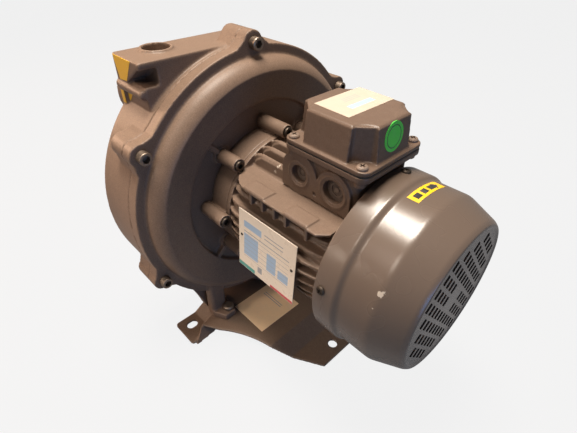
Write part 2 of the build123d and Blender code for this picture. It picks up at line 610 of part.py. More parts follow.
def shelf():
    """Flat shelf on one side of the frame, with a rounded front end, raised pads and short webs."""
    low, high = SHELF_Z - SHELF_THICKNESS, SHELF_Z
    outer = -SHELF_HALF_WIDTH
    front = ThreePointArc((42.0, -36.0), (54.0, -57.5), (76.0, outer))
    rest = Polyline((76.0, outer), (158.0, outer), (166.0, outer + 8), (166.0, 0), (42.0, 0), (42.0, -36.0))
    plate = extrude(Plane.XY.offset(low) * make_face(front + rest), SHELF_THICKNESS)
    for x_span in SHELF_PADS:
        plate += block(x_span, (outer + 1.0, outer + 15.5), (low, high + 1.6))
    for x in SHELF_WEB_X:
        plate += block((x - 1.6, x + 1.6), (outer + 2.0, -44.0), (high - 15.0, low))
    return plate


def stator_core():
    """Laminated stator ring."""
    return ring(*CORE_X, STATOR_RADIUS, STATOR_BORE_RADIUS)


def stator_windings():
    """End turns at both ends of the stator core."""
    low, high = STATOR_BORE_RADIUS + 3, STATOR_RADIUS - 3
    front = turned((CORE_X[0] - WINDING_OVERHANG, low + 2), (CORE_X[0] - WINDING_OVERHANG, high - 3),
                   (CORE_X[0] - WINDING_OVERHANG + 3, high), (CORE_X[0], high), (CORE_X[0], low))
    back = turned((CORE_X[1], low), (CORE_X[1], high), (CORE_X[1] + 8, high), (CORE_X[1] + 10, high - 3),
                  (CORE_X[1] + 10, low + 2))
    return [front, back]


def rotor_core():
    """Squirrel-cage rotor with its end rings and fan vanes."""
    radius = STATOR_BORE_RADIUS - AIR_GAP
    core = ring(*CORE_X, radius, 14.0)
    for x_start in (CORE_X[0] - 8, CORE_X[1]):
        core += ring(x_start, x_start + 8, radius - 3, radius - 12)
    return core


def fan_end_shield():
    """Rear bearing shield with four ears that carry the fan cover."""
    start, seat_end = FRAME_END_X, REAR_BEARING_X[1]
    shield = turned((start, 61.0), (start, 66.0), (start + 3, 66.0), (start + 7, 60.0), (start + 7, 32.0),
                    (seat_end + 2, 30.0), (seat_end + 2, 13.0), (seat_end, 13.0), (seat_end, REAR_BEARING_RADIUS),
                    (REAR_BEARING_X[0] - 2, REAR_BEARING_RADIUS), (REAR_BEARING_X[0] - 2, 30.0), (start + 2, 33.0),
                    (start + 2, 54.0), (start - 3, 55.0), (start - 3, 50.0), (start - 6, 50.0), (start - 6, STATOR_RADIUS - 0.5),
                    (start, STATOR_RADIUS - 0.5))
    ear = block((start, start + 12), (55.0, COVER_BAND_RADIUS - COVER_SHEET), (-7.0, 7.0))
    ear &= ring(start, start + 12, COVER_BAND_RADIUS - COVER_SHEET - 0.2)
    hole = Pos(COVER_SCREW_X, 0, 0) * Rot(X=-90) * Cylinder(2.5, 200)
    ear -= hole & block((start, start + 12), (64.0, 90.0), (-3.0, 3.0))
    for angle in COVER_SCREW_ANGLES:
        shield += about_shaft(angle) * ear
    return shield


def wave_spring():
    """Preload washer behind the rear bearing."""
    return ring(REAR_BEARING_X[0] - 1.5, REAR_BEARING_X[0] - 0.1, REAR_BEARING_RADIUS - 0.3, 19.0)


# ---------------------------------------------------------------- fan and cover
def cooling_fan():
    """External fan: hub, backplate and straight radial blades."""
    fan = turned((190.0, FAN_SEAT_RADIUS), (FAN_RING_X[0], FAN_SEAT_RADIUS), (FAN_RING_X[0], 14.0), (194.5, 17.0),
                 (192.0, 62.0), (189.5, 62.0), (190.0, 17.0))
    blade = make_face(Polyline((193.0, 14.0), (193.0, 62.0), (216.0, 66.0), (218.0, 45.0), (215.0, 14.0), close=True))
    blade = extrude(blade, 1.1, both=True)
    for index in range(9):
        fan += about_shaft(index * 360 / 9) * blade
    return fan - ring(185, 222, FAN_SEAT_RADIUS)


def fan_circlip():
    """External circlip that holds the fan on the shaft."""
    clip = ring(*FAN_RING_X, FAN_SEAT_RADIUS + 2.2, FAN_SEAT_RADIUS - 1.0)
    return clip - block((200, 230), (-1.6, 1.6), (0, 15))


def grille_openings():
    """Rectangular air openings on a turned square grid, cut off by a circle and with a solid centre."""
    nearest, farthest = (limit * GRILLE_PITCH for limit in GRILLE_LIMITS)
    places = [(index - (GRILLE_COUNT - 1) / 2) * GRILLE_PITCH for index in range(GRILLE_COUNT)]
    openings = [Pos(along_y, along_z) * Rectangle(*GRILLE_OPENING)
                for along_y in places for along_z in places
                if nearest < sqrt(along_y ** 2 + along_z ** 2) < farthest]
    return Rot(Z=GRILLE_TURN) * Sketch(children=openings)


def fan_cover():
    """Deep-drawn sheet cowl: wide band, joggle, drum, cone and punched face."""
    band, drum, face = COVER_BAND_RADIUS, COVER_DRUM_RADIUS, COVER_FACE_RADIUS
    skin = Polyline((COVER_OPEN_X, band), (191.0, band), (195.0, drum), (221.0, drum), (225.0, drum - 0.8),
                    (246.0, face + 3.6), (248.6, face + 1.6), (COVER_END_X, face - 1.5), (COVER_END_X, 0))
    inner = Polyline((COVER_END_X, 0), (COVER_END_X - COVER_SHEET, 0), (COVER_END_X - COVER_SHEET, face - 2.2),
                     (247.4, face), (245.0, face + 2.0), (224.6, drum - COVER_SHEET - 0.8),
                     (221.0, drum - COVER_SHEET), (194.6, drum - COVER_SHEET), (190.4, band - COVER_SHEET),
                     (COVER_OPEN_X, band - COVER_SHEET), (COVER_OPEN_X, band))
    cover = revolve(make_face(skin + inner), Axis.X, 360)
    cutter = Plane.YZ.offset(COVER_END_X + 1) * (grille_openings() + Circle(4.0))
    cover -= extrude(cutter, -COVER_SHEET - 2)
    for angle in COVER_SCREW_ANGLES:
        hole = Rot(X=-90) * Cylinder(2.8, 8)
        cover -= about_shaft(angle) * Pos(COVER_SCREW_X, band, 0) * hole
    return cover


def fan_cover_screws():
    """M5 pan-head screws set radially through the band into the shield ears."""
    screw = pan_screw(2.5, 4.8, 3.0, 13.0)
    outwards = Rot(X=-90) * screw
    return [about_shaft(angle) * Pos(COVER_SCREW_X, COVER_BAND_RADIUS, 0) * outwards for angle in COVER_SCREW_ANGLES]


# ---------------------------------------------------------------- terminal box
def rounded_slab(size, radius, z_start, z_end, centre_x=BOX_CENTRE_X):
    """Upright prism with rounded corners, centred over the shaft."""
    outline = Plane.XY.offset(z_start) * Pos(centre_x, 0) * RectangleRounded(*size, radius)
    return extrude(outline, z_end - z_start)


def lid_screw_places():
    """Corner positions of the lid screws."""
    half_x, half_y = LID_SCREW_PITCH[0] / 2, LID_SCREW_PITCH[1] / 2
    return [(BOX_CENTRE_X + sx * half_x, sy * half_y) for sx in (-1, 1) for sy in (-1, 1)]


def terminal_box_base():
    """Cast base of the terminal box with an arched panel round the two cable entries."""
    width = BOX_BODY_SIZE[1]
    body = rounded_slab(BOX_BODY_SIZE, 5.0, BOX_FOOT_Z, BOX_FLANGE_Z - 4.0, BOX_BODY_CENTRE_X)
    body += rounded_slab(BOX_FLANGE_SIZE, 8.0, BOX_FLANGE_Z - 5.0, BOX_FLANGE_Z)
    for x, hole, arch in CABLE_ENTRIES:
        pad = Pos(x, CABLE_ENTRY_Z) * Circle(arch)
        pad += Pos(x, (CABLE_ENTRY_Z + BOX_FOOT_Z) / 2) * Rectangle(2 * arch, CABLE_ENTRY_Z - BOX_FOOT_Z)
        body += extrude(Plane.XZ.offset(width / 2 - 1) * pad, ENTRY_PANEL + 1)
        rim = Pos(x, CABLE_ENTRY_Z) * (Circle(hole + 3.6) - Circle(hole + 2.2))
        body += extrude(Plane.XZ.offset(width / 2 + ENTRY_PANEL - 1) * rim, 1.7)
    cavity = rounded_slab((BOX_BODY_SIZE[0] - 8, width - 8), 3.0, BOX_FOOT_Z + 1, BOX_FLANGE_Z + 1, BOX_BODY_CENTRE_X)
    body -= cavity - rod(60, 190, FRAME_RADIUS + BOX_WALL)
    body -= rod(60, 190, FRAME_RADIUS)
    for x, hole, _ in CABLE_ENTRIES:
        body -= extrude(Plane.XZ.offset(width / 2 - BOX_WALL) * Pos(x, CABLE_ENTRY_Z) * Circle(hole), 15)
    body -= extrude(Plane.XZ.offset(width / 2 + 1) * Pos(128.5, 56.5) * Circle(1.8), 5)
    body -= post(BOX_FOOT_Z, BOX_FOOT_Z + 20, 8.0, BOX_BODY_CENTRE_X, 0)
    for x, y in lid_screw_places():
        body += post(BOX_FLANGE_Z - 10, BOX_FLANGE_Z, 4.5, x, y)
        body -= post(BOX_FLANGE_Z - 9, BOX_FLANGE_Z + 1, 2.5, x, y)
    return body


def terminal_gasket():
    """Flat rubber gasket between box and lid."""
    top = BOX_FLANGE_Z + BOX_GASKET
    gasket = rounded_slab((BOX_FLANGE_SIZE[0] - 1, BOX_FLANGE_SIZE[1] - 1), 7.5, BOX_FLANGE_Z, top)
    gasket -= rounded_slab((60, 58), 6.0, BOX_FLANGE_Z - 1, top + 1, BOX_BODY_CENTRE_X)
    for x, y in lid_screw_places():
        gasket -= post(BOX_FLANGE_Z - 1, top + 1, 2.6, x, y)
    return gasket


def lid_outline(inset):
    """Plan outline of the lid body with a hollow round every corner screw."""
    shape = RectangleRounded(LID_BODY_SIZE[0] - 2 * inset, LID_BODY_SIZE[1] - 2 * inset, 4.0)
    for x, y in lid_screw_places():
        shape -= Pos(x - BOX_CENTRE_X, y) * Circle(LID_SCOOP_RADIUS)
    return Pos(BOX_CENTRE_X, 0) * shape


def terminal_lid():
    """Deep cast lid with a rim flange."""
    flange_start = BOX_FLANGE_Z + BOX_GASKET
    flange_end = flange_start + LID_FLANGE
    lower = Plane.XY.offset(flange_end - 1) * lid_outline(0)
    upper = Plane.XY.offset(LID_TOP_Z) * lid_outline(LID_TOP_INSET)
    lid = loft([lower, upper])
    lid = chamfer(lid.edges().group_by(Axis.Z)[-1], 1.6)
    lid += rounded_slab(BOX_FLANGE_SIZE, 8.0, flange_start, flange_end)
    lid -= rounded_slab((56, 50), 5.0, flange_start - 1, LID_TOP_Z - 4)
    for x, y in lid_screw_places():
        lid -= post(flange_start - 1, flange_end + 1, 2.8, x, y)
    return lid


def terminal_lid_screws():
    """M5 pan-head screws at the lid corners."""
    seat = BOX_FLANGE_Z + BOX_GASKET + LID_FLANGE
    screw = pan_screw(2.5, 4.4, 3.0, LID_FLANGE + BOX_GASKET + 8)
    return [Pos(x, y, seat) * screw for x, y in lid_screw_places()]


def cable_entry_membranes():
    """Knock-out discs across the two cable entries, each with a raised ring."""
    inner_face = BOX_BODY_SIZE[1] / 2 - BOX_WALL
    discs = []
    for x, hole, _ in CABLE_ENTRIES:
        disc = Plane.XZ.offset(inner_face) * Pos(x, CABLE_ENTRY_Z)
        raised = Circle(hole * 0.62) - Circle(hole * 0.5) + Circle(hole * 0.22)
        discs.append(extrude(disc * Circle(hole), 1.2) + extrude(disc * raised, 2.0))
    return discs


def terminal_board():
    """Moulded board with barrier ribs, across the box behind the lead hole."""
    floor_z = FRAME_RADIUS + BOX_WALL
    board = block((100.0, 118.0), (-18.5, 18.5), (floor_z, floor_z + 9))
    for y in (-6.2, 6.2):
        board += block((100.0, 118.0), (y - 0.9, y + 0.9), (floor_z + 8, floor_z + 14))
    for x, y in terminal_places():
        board -= post(floor_z + 3, floor_z + 10, 2.0, x, y)
    return board


def terminal_places():
    """Six studs in two rows."""
    return [(x, y) for x in (104.5, 113.5) for y in (-12.4, 0.0, 12.4)]


def terminal_studs():
    """Brass studs with their nuts."""
    floor_z = FRAME_RADIUS + BOX_WALL
    studs = []
    for x, y in terminal_places():
        nut = extrude(Plane.XY.offset(floor_z + 9) * Pos(x, y) * RegularPolygon(3.6, 6), 3.2)
        studs.append(post(floor_z + 3, floor_z + 17, 2.0, x, y) + nut)
    return studs


# ---------------------------------------------------------------- plate on the motor
def nameplate_place():
    """Plane frame of the nameplate: x along the shaft, y up the plate, facing -Y."""
    return Pos(*NAMEPLATE_CENTRE) * Rot(X=90 + NAMEPLATE_TILT)


def nameplate():
    """Thin plate riveted to two pads on the fins."""
    plate = extrude(RectangleRounded(*NAMEPLATE_SIZE, 2.0), 0.8)
    return nameplate_place() * plate


def nameplate_rivets():
    """Two drive rivets."""
    rivet = Cylinder(RIVET_RADIUS, 1.0)
    return [nameplate_place() * Pos(sx * (NAMEPLATE_SIZE[0] / 2 - 4.3), 4.8, 1.3) * rivet for sx in (-1, 1)]


def nameplate_pads():
    """Cast pads on the frame that back the nameplate."""
    pad = extrude(Rectangle(10, 30), -9.0)
    pads = [nameplate_place() * Pos(sx * (NAMEPLATE_SIZE[0] / 2 - 6), 0, 0) * pad for sx in (-1, 1)]
    return pads


# ---------------------------------------------------------------- output
def build_parts():
    """Every node of the blower in the axis frame."""
    outer_front, inner_front = bearing_rings(FRONT_BEARING_X, FRONT_BEARING_RADIUS, FRONT_JOURNAL_RADIUS)
    outer_rear, inner_rear = bearing_rings(REAR_BEARING_X, REAR_BEARING_RADIUS, REAR_JOURNAL_RADIUS)
    frame = motor_frame()
    for pad in nameplate_pads():
        frame += pad
    return {
        "base_plate": base_plate(),
        "base_bolts": base_bolts(),
        "rear_housing": rear_housing() - seal_groove(),
        "front_cover": front_cover(),
        "housing_seal": housing_seal(),
        "housing_screws": housing_screws(),
        "impeller": impeller(),
        "impeller_key": shaft_key_blank(),
        "impeller_washer": impeller_washer(),
        "impeller_screw": impeller_screw(),
        "shaft": shaft(),
        "shaft_seal": shaft_seal(),
        "drive_end_shield": drive_end_shield(),
        "shield_screws": shield_screws(),
        "front_bearing_outer": outer_front,
        "front_bearing_inner": inner_front,
        "front_bearing_balls": bearing_balls(FRONT_BEARING_X, FRONT_BEARING_RADIUS, FRONT_JOURNAL_RADIUS, 9),
        "rear_bearing_outer": outer_rear,
        "rear_bearing_inner": inner_rear,
        "rear_bearing_balls": bearing_balls(REAR_BEARING_X, REAR_BEARING_RADIUS, REAR_JOURNAL_RADIUS, 8),
        "wave_spring": wave_spring(),
        "motor_frame": frame,
        "stator_core": stator_core(),
        "stator_windings": stator_windings(),
        "rotor_core": rotor_core(),
        "fan_end_shield": fan_end_shield(),
        "cooling_fan": cooling_fan(),
        "fan_circlip": fan_circlip(),
        "fan_cover": fan_cover(),
        "fan_cover_screws": fan_cover_screws(),
        "terminal_box_base": terminal_box_base(),
        "terminal_gasket": terminal_gasket(),
        "terminal_lid": terminal_lid(),
        "terminal_lid_screws": terminal_lid_screws(),
        "cable_entry_membranes": cable_entry_membranes(),
        "terminal_board": terminal_board(),
        "terminal_studs": terminal_studs(),
        "nameplate": nameplate(),
        "nameplate_rivets": nameplate_rivets(),
    }


def main():
    """Lift every node to the row frame and write its STEP file."""
    os.makedirs("parts", exist_ok=True)
    lift = Pos(Z=AXIS_HEIGHT)
    for name, shape in build_parts().items():
        solids = shape if isinstance(shape, list) else [shape]
        lifted = [lift * solid for solid in solids]
        node = lifted[0] if len(lifted) == 1 else Compound(children=lifted)
        export_step(node, f"parts/{name}.step")


main()
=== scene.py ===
"""Looks of a side channel blower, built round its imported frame.

Row frame, metres: +X along the shaft towards the fan end, +Z up, the origin on the floor midway between
the rear foot slots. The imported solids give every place. Castings and pressings are re-skinned from their
own solids with softened edges, the cowl is spun and punched, and screws are set out on their seats.
"""
from __future__ import annotations

import json
import logging
import math
from dataclasses import dataclass, field
from enum import Enum
from typing import Callable, Iterable, Sequence

import bmesh
import bpy
from mathutils import Matrix, Vector


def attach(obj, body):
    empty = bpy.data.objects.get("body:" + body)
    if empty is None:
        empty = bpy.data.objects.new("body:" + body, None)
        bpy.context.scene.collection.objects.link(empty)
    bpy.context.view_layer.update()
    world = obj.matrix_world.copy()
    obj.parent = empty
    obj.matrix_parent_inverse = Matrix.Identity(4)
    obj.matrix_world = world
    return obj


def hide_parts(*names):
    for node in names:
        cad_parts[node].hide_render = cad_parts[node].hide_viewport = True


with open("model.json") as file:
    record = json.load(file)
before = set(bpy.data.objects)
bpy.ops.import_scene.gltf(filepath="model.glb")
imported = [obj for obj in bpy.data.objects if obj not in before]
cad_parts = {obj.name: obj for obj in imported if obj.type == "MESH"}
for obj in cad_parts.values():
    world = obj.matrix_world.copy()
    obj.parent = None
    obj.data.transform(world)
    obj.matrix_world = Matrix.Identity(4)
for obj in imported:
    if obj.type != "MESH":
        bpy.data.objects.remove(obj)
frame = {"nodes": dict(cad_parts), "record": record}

log = logging.getLogger("blower")
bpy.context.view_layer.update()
MM = 0.001
SHAFT_HEIGHT = 175.0
STILL_BODY = "frame"
POLE_RADIUS = 1e-6
LEAST_CUT_MM = 0.05
CASTING_SHADE_DEG = 50.0
COWL_SHADE_DEG = 32.0
SCREW_SHADE_DEG = 24.0
PAPER_SHADE_DEG = 30.0

Object, Mesh, Material = bpy.types.Object, bpy.types.Mesh, bpy.types.Material
Socket, BMesh = bpy.types.NodeSocket, bmesh.types.BMesh
Pair = tuple[float, float]
Point = Colour = tuple[float, float, float]
Place = Callable[[float, float, float], Vector]
Outline = Sequence[Pair]
Seats = Sequence[tuple[Vector, Vector]]


# ---------------------------------------------------------------- node trees
class Graph:
    """A node tree under construction, with short calls for adding and feeding nodes."""

    def __init__(self, tree: bpy.types.NodeTree) -> None:
        """Start on a tree."""
        self.tree = tree

    def add(self, kind: str, inputs: dict[str | int, object] | None = None, **settings: object) -> bpy.types.Node:
        """Add a node.

        Args:
            kind: Blender's node type.
            inputs: values or outputs for its sockets, by name or number.
            settings: node properties by name.

        Returns:
            The node.
        """
        node = self.tree.nodes.new(kind)
        for key, value in settings.items():
            setattr(node, key, value)
        for key, value in (inputs or {}).items():
            self.feed(node.inputs[key], value)
        return node

    def feed(self, socket: Socket, value: object) -> None:
        """Link an output to a socket, or set the socket to a plain value."""
        if isinstance(value, Socket):
            self.tree.links.new(value, socket)
        elif isinstance(value, tuple) and len(value) == 3 and socket.type == "RGBA":
            socket.default_value = (*value, 1.0)
        else:
            socket.default_value = value

    def math(self, operation: str, *values: object) -> Socket:
        """A Math node's result."""
        return self.add("ShaderNodeMath", dict(enumerate(values)), operation=operation).outputs[0]


class Sketch(Graph):
    """A material under construction on Object coordinates."""

    def __init__(self, name: str) -> None:
        """Start an empty material called name."""
        self.material = bpy.data.materials.new(name)
        self.material.use_nodes = True
        super().__init__(self.material.node_tree)
        self.tree.nodes.clear()
        self.coords = self.add("ShaderNodeTexCoord").outputs["Object"]

    def noise(self, scale: float, detail: float = 3.0, roughness: float = 0.55) -> Socket:
        """Noise over the piece, scale in cells per metre."""
        inputs = {"Vector": self.coords, "Scale": scale, "Detail": detail, "Roughness": roughness}
        return self.add("ShaderNodeTexNoise", inputs).outputs["Fac"]

    def ramp(self, value: object, low: float, high: float, out_low: float = 0.0,
             out_high: float = 1.0) -> Socket:
        """Value taken from low..high to out_low..out_high, smoothly and clamped."""
        inputs = {"Value": value, "From Min": low, "From Max": high, "To Min": out_low, "To Max": out_high}
        return self.add("ShaderNodeMapRange", inputs, interpolation_type="SMOOTHSTEP").outputs["Result"]

    def mix(self, share: object, first: object, second: object) -> Socket:
        """Colour mix of first and second by share."""
        return self.add("ShaderNodeMix", {0: share, 6: first, 7: second}, data_type="RGBA").outputs[2]

    def blob(self, centre_mm: Point, radius_mm: float, ragged: Socket) -> Socket:
        """Ragged spot round a point: 1 inside, 0 outside.

        Args:
            centre_mm: the point in the row frame, in millimetres.
            radius_mm: mean radius of the spot.
            ragged: noise output that breaks the outline.

        Returns:
            The mask.
        """
        spread, bite = 2.6, -0.5
        centre = [value * MM for value in centre_mm]
        gap = self.add("ShaderNodeVectorMath", {0: self.coords, 1: centre}, operation="DISTANCE")
        edge = self.math("MULTIPLY_ADD", ragged, radius_mm * spread * MM, radius_mm * bite * MM)
        return self.math("LESS_THAN", gap.outputs["Value"], edge)

    def finish(self, colour: object, roughness: object, height: object = None, relief_mm: float = 0.1,
               **constants: float) -> Material:
        """Close the tree with a Principled shader.

        Args:
            colour: base colour or its output.
            roughness: roughness or its output.
            height: bump height output, 0 to 1.
            relief_mm: depth of the bump.
            constants: further shader sockets, with underscores for spaces.

        Returns:
            The material.
        """
        inputs = {"Base Color": colour, "Roughness": roughness}
        inputs |= {name.replace("_", " "): value for name, value in constants.items()}
        if height is not None:
            bump = self.add("ShaderNodeBump", {"Distance": relief_mm * MM, "Strength": 1.0, "Height": height})
            inputs["Normal"] = bump.outputs["Normal"]
        shader = self.add("ShaderNodeBsdfPrincipled", inputs)
        self.add("ShaderNodeOutputMaterial", {"Surface": shader.outputs["BSDF"]})
        return self.material


# ---------------------------------------------------------------- finishes
def tint(colour: Colour, factor: float, lift: float = 0.0) -> Colour:
    """Colour scaled and lifted, no brighter than 1."""
    return tuple(min(1.0, value * factor + lift) for value in colour)


@dataclass(frozen=True)
class CastEnamel:
    """Enamel sprayed over a sand or die casting, with painted shade in its hollows and painted highlight and wear on
    its edges.
    """

    name: str
    colour: Colour
    roughness: float = 0.46
    grain_per_m: float = 900.0
    relief_mm: float = 0.10
    mottling: float = 0.14
    # strength of the lighter convex edges: painted highlight on the edges, together with worn paint
    edge_highlight_and_wear: float = 0.25
    gloss: float = 0.5
    bare_spots_and_glints: tuple[tuple[Point, float], ...] = ()
    dust: float = 0.04
    speckle: float = 0.16

    def build(self) -> Material:
        """Make the material."""
        s = Sketch(self.name)
        broad = s.noise(9.0, 3.0)
        fine = s.noise(self.grain_per_m, 2.0, 0.6)
        mid = s.noise(self.grain_per_m * 0.22, 3.0)
        dark, light = tint(self.colour, 1 - self.mottling), tint(self.colour, 1 + self.mottling)
        colour = s.mix(s.ramp(broad, 0.10, 0.90), dark, light)
        speck = s.ramp(fine, 0.50, 0.72, 0.0, self.speckle)
        colour = s.mix(speck, colour, tint(self.colour, 2.0))
        pit = s.ramp(fine, 0.28, 0.46, self.speckle * 1.6, 0.0)
        colour = s.mix(pit, colour, tint(self.colour, 0.4))
        form = s.add("ShaderNodeNewGeometry")
        # convex edges lighten: painted highlight on the edges, together with worn paint
        uneven = s.math("ADD", form.outputs["Pointiness"], s.math("MULTIPLY", mid, 0.04))
        ridge_highlight_and_wear = s.ramp(uneven, 0.545, 0.60, 0.0, self.edge_highlight_and_wear)
        colour = s.mix(ridge_highlight_and_wear, colour, tint(self.colour, 2.2, 0.02))
        # painted shade: concave places darken towards a quarter of the colour
        painted_hollow_shade = s.ramp(form.outputs["Pointiness"], 0.38, 0.485, 0.65, 0.0)
        colour = s.mix(painted_hollow_shade, colour, tint(self.colour, 0.25))
        settled = s.math("MULTIPLY", s.ramp(mid, 0.45, 0.70), self.dust)
        colour = s.mix(settled, colour, DUST)
        rough = s.ramp(broad, 0.1, 0.9, self.roughness - 0.05, self.roughness + 0.07)
        height = s.math("MULTIPLY_ADD", mid, 0.35, s.math("MULTIPLY", fine, 0.65))
        # bare-metal spots: worn paint, and on the motor's fin crests also painted highlight
        if self.bare_spots_and_glints:
            ragged = s.noise(330.0, 3.0, 0.7)
            bare_and_glint_mask: object = None
            for centre, radius in self.bare_spots_and_glints:
                spot = s.blob(centre, radius, ragged)
                bare_and_glint_mask = spot if bare_and_glint_mask is None else s.math("MAXIMUM", bare_and_glint_mask, spot)
            colour = s.mix(bare_and_glint_mask, colour, BARE_METAL_AND_GLINT)
            height = s.math("SUBTRACT", height, s.math("MULTIPLY", bare_and_glint_mask, 1.2))
        return s.finish(colour, rough, height if self.relief_mm else None, self.relief_mm,
                        Specular_IOR_Level=self.gloss)


@dataclass(frozen=True)
class Metal:
    """Bare or plated metal with tool marks."""

    name: str
    colour: Colour
    roughness: float = 0.32
    grain_per_m: float = 1400.0
    relief_mm: float = 0.03
    tarnish: float = 0.25

    def build(self) -> Material:
        """Make the material."""
        s = Sketch(self.name)
        cloud = s.noise(90.0, 4.0)
        fine = s.noise(self.grain_per_m, 2.0)
        colour = s.mix(s.ramp(cloud, 0.35, 0.7), self.colour, tint(self.colour, 1 - self.tarnish))
        rough = s.ramp(cloud, 0.3, 0.7, self.roughness, self.roughness + 0.18)
        return s.finish(colour, rough, fine, self.relief_mm, Metallic=1.0)


@dataclass(frozen=True)
class Moulding:
    """Plastic, rubber or lacquer without metal in it."""

    name: str
    colour: Colour
    roughness: float = 0.55
    grain_per_m: float = 1200.0
    relief_mm: float = 0.04
    variation: float = 0.15

    def build(self) -> Material:
        """Make the material."""
        s = Sketch(self.name)
        cloud = s.noise(60.0, 3.0)
        fine = s.noise(self.grain_per_m, 2.0)
        darker, lighter = tint(self.colour, 1 - self.variation), tint(self.colour, 1 + self.variation)
        colour = s.mix(s.ramp(cloud, 0.35, 0.65), darker, lighter)
        rough = s.ramp(cloud, 0.3, 0.7, self.roughness - 0.06, self.roughness + 0.08)
        return s.finish(colour, rough, fine, self.relief_mm)


@dataclass(frozen=True)
class Film:
    """Printed film or card: flat ink with faint fibre and rub marks."""

    name: str
    colour: Colour
    roughness: float = 0.38
    rub: float = 0.08

    def build(self) -> Material:
        """Make the material."""
        s = Sketch(self.name)
        cloud = s.noise(120.0, 5.0, 0.65)
        fibre = s.noise(2600.0, 2.0)
        colour = s.mix(s.ramp(cloud, 0.42, 0.66), self.colour, tint(self.colour, 1 - self.rub, 0.5 * self.rub))
        rough = s.ramp(cloud, 0.3, 0.7, self.roughness - 0.05, self.roughness + 0.1)
        return s.finish(colour, rough, fibre, FIBRE_RELIEF_MM)


DUST = (0.40, 0.32, 0.25)
BARE_METAL_AND_GLINT = (0.50, 0.43, 0.36)
FIBRE_RELIEF_MM = 0.012
COWL_CHIPS = (((222.0, -69.2, 211.0), 2.3), ((224.0, -68.2, 213.5), 1.7), ((225.5, -77.6, 182.8), 0.9),
              ((221.0, -74.0, 200.0), 0.7), ((245.0, -18.0, 228.0), 0.9), ((246.0, -57.5, 152.7), 0.9))
# bright spots on the motor's fin crests beside the box: worn paint showing metal, and painted highlight where the
# crests catch the light
FIN_CREST_WEAR_AND_GLINTS = (((81.0, -32.6, 236.6), 2.4), ((87.0, -32.0, 243.0), 2.2), ((77.0, -32.8, 229.0), 1.8),
               ((90.0, -22.0, 242.0), 1.6))


class Finish(Enum):
    """Every finish on the machine."""

    HOUSING = CastEnamel("housing enamel", (0.185, 0.122, 0.086), 0.44, 1000.0, 0.12, 0.05, 0.30, 0.28,
                         speckle=0.26)
    MOTOR = CastEnamel("motor enamel", (0.165, 0.112, 0.082), 0.38, 900.0, 0.035, 0.05, 0.50, 0.32, FIN_CREST_WEAR_AND_GLINTS)
    BOX = CastEnamel("box enamel", (0.132, 0.087, 0.063), 0.36, 1100.0, 0.04, 0.04, 0.22, 0.32)
    BASE = CastEnamel("base enamel", (0.160, 0.112, 0.082), 0.40, 800.0, 0.03, 0.06, 0.45, 0.3)
    COWL = CastEnamel("cowl enamel", (0.125, 0.090, 0.069), 0.25, 900.0, 0.0, 0.0, 0.20, 0.62, COWL_CHIPS, 0.0,
                      0.0)
    WHEEL = Metal("wheel casting", (0.70, 0.70, 0.69), 0.48, 900.0, 0.08)
    SHAFT = Metal("ground steel", (0.55, 0.55, 0.56), 0.26)
    BEARING = Metal("bearing steel", (0.66, 0.66, 0.68), 0.20)
    ZINC = Metal("zinc plate", (0.27, 0.21, 0.165), 0.42)
    LAMINATION = Metal("lamination steel", (0.40, 0.40, 0.41), 0.45)
    CAGE = Metal("rotor casting", (0.62, 0.62, 0.62), 0.42)
    BRASS = Metal("turned brass", (0.78, 0.58, 0.28), 0.28)
    PLATE = Metal("plate aluminium", (0.82, 0.82, 0.83), 0.30)
    COPPER = Moulding("varnished copper", (0.42, 0.17, 0.06), 0.35)
    RUBBER = Moulding("seal rubber", (0.022, 0.021, 0.020), 0.62)
    FAN = Moulding("fan plastic", (0.030, 0.029, 0.028), 0.50)
    BOARD = Moulding("board resin", (0.045, 0.038, 0.032), 0.45)
    PLUG = CastEnamel("plug enamel", (0.125, 0.092, 0.074), 0.46, 700.0, 0.05)
    BLACK_SCREW = Metal("blackened screw", (0.10, 0.08, 0.065), 0.42)
    SCREW = CastEnamel("painted screw", (0.140, 0.100, 0.076), 0.34, 900.0, 0.03, 0.05, 0.5)
    LABEL = Film("label white", (0.50, 0.43, 0.35))
    PLATE_WHITE = Film("plate lacquer", (0.80, 0.69, 0.57), 0.3)
    CARD = Film("card cream", (0.92, 0.66, 0.40), 0.6)
    INK_GREY = Film("ink grey", (0.34, 0.33, 0.34))
    # pale blue: print on the labels and the plate's header, and painted reflection in the rating plate's table cells
    BLUE_INK_AND_REFLECTION = Film("pale blue ink and painted reflection", (0.36, 0.48, 0.64))
    INK_GREEN = Film("ink sea green", (0.08, 0.33, 0.28))
    INK_RED = Film("ink red", (0.55, 0.05, 0.06))
    GREEN = Film("sticker green", (0.07, 0.78, 0.07))
    GREEN_DARK = Film("sticker dark green", (0.02, 0.12, 0.03))
    YELLOW = Film("sticker yellow", (0.84, 0.50, 0.012))
    BLACK = Film("sticker black", (0.03, 0.028, 0.026))

    def material(self) -> Material:
        """The finish's material, made once."""
        return bpy.data.materials.get(self.value.name) or self.value.build()


SLOT_FINISH: dict[str, Finish] = {
    "housing_paint": Finish.HOUSING, "motor_paint": Finish.MOTOR, "cowl_paint": Finish.COWL,
    "base_paint": Finish.BASE, "box_paint": Finish.BOX, "wheel_cast": Finish.WHEEL, "shaft_steel": Finish.SHAFT,
    "bearing_steel": Finish.BEARING, "screw_zinc": Finish.ZINC, "screw_painted": Finish.SCREW,
    "seal_rubber": Finish.RUBBER, "lamination": Finish.LAMINATION, "winding_copper": Finish.COPPER,
    "rotor_cage": Finish.CAGE, "fan_plastic": Finish.FAN, "board_plastic": Finish.BOARD,
    "stud_brass": Finish.BRASS, "plug_plastic": Finish.PLUG, "plate_aluminium": Finish.PLATE,
}


# ---------------------------------------------------------------- mesh helpers
def link(name: str, mesh: Mesh) -> Object:
    """Put a mesh in the scene as an object at the origin."""
    obj = bpy.data.objects.new(name, mesh)
    bpy.context.scene.collection.objects.link(obj)
    return obj


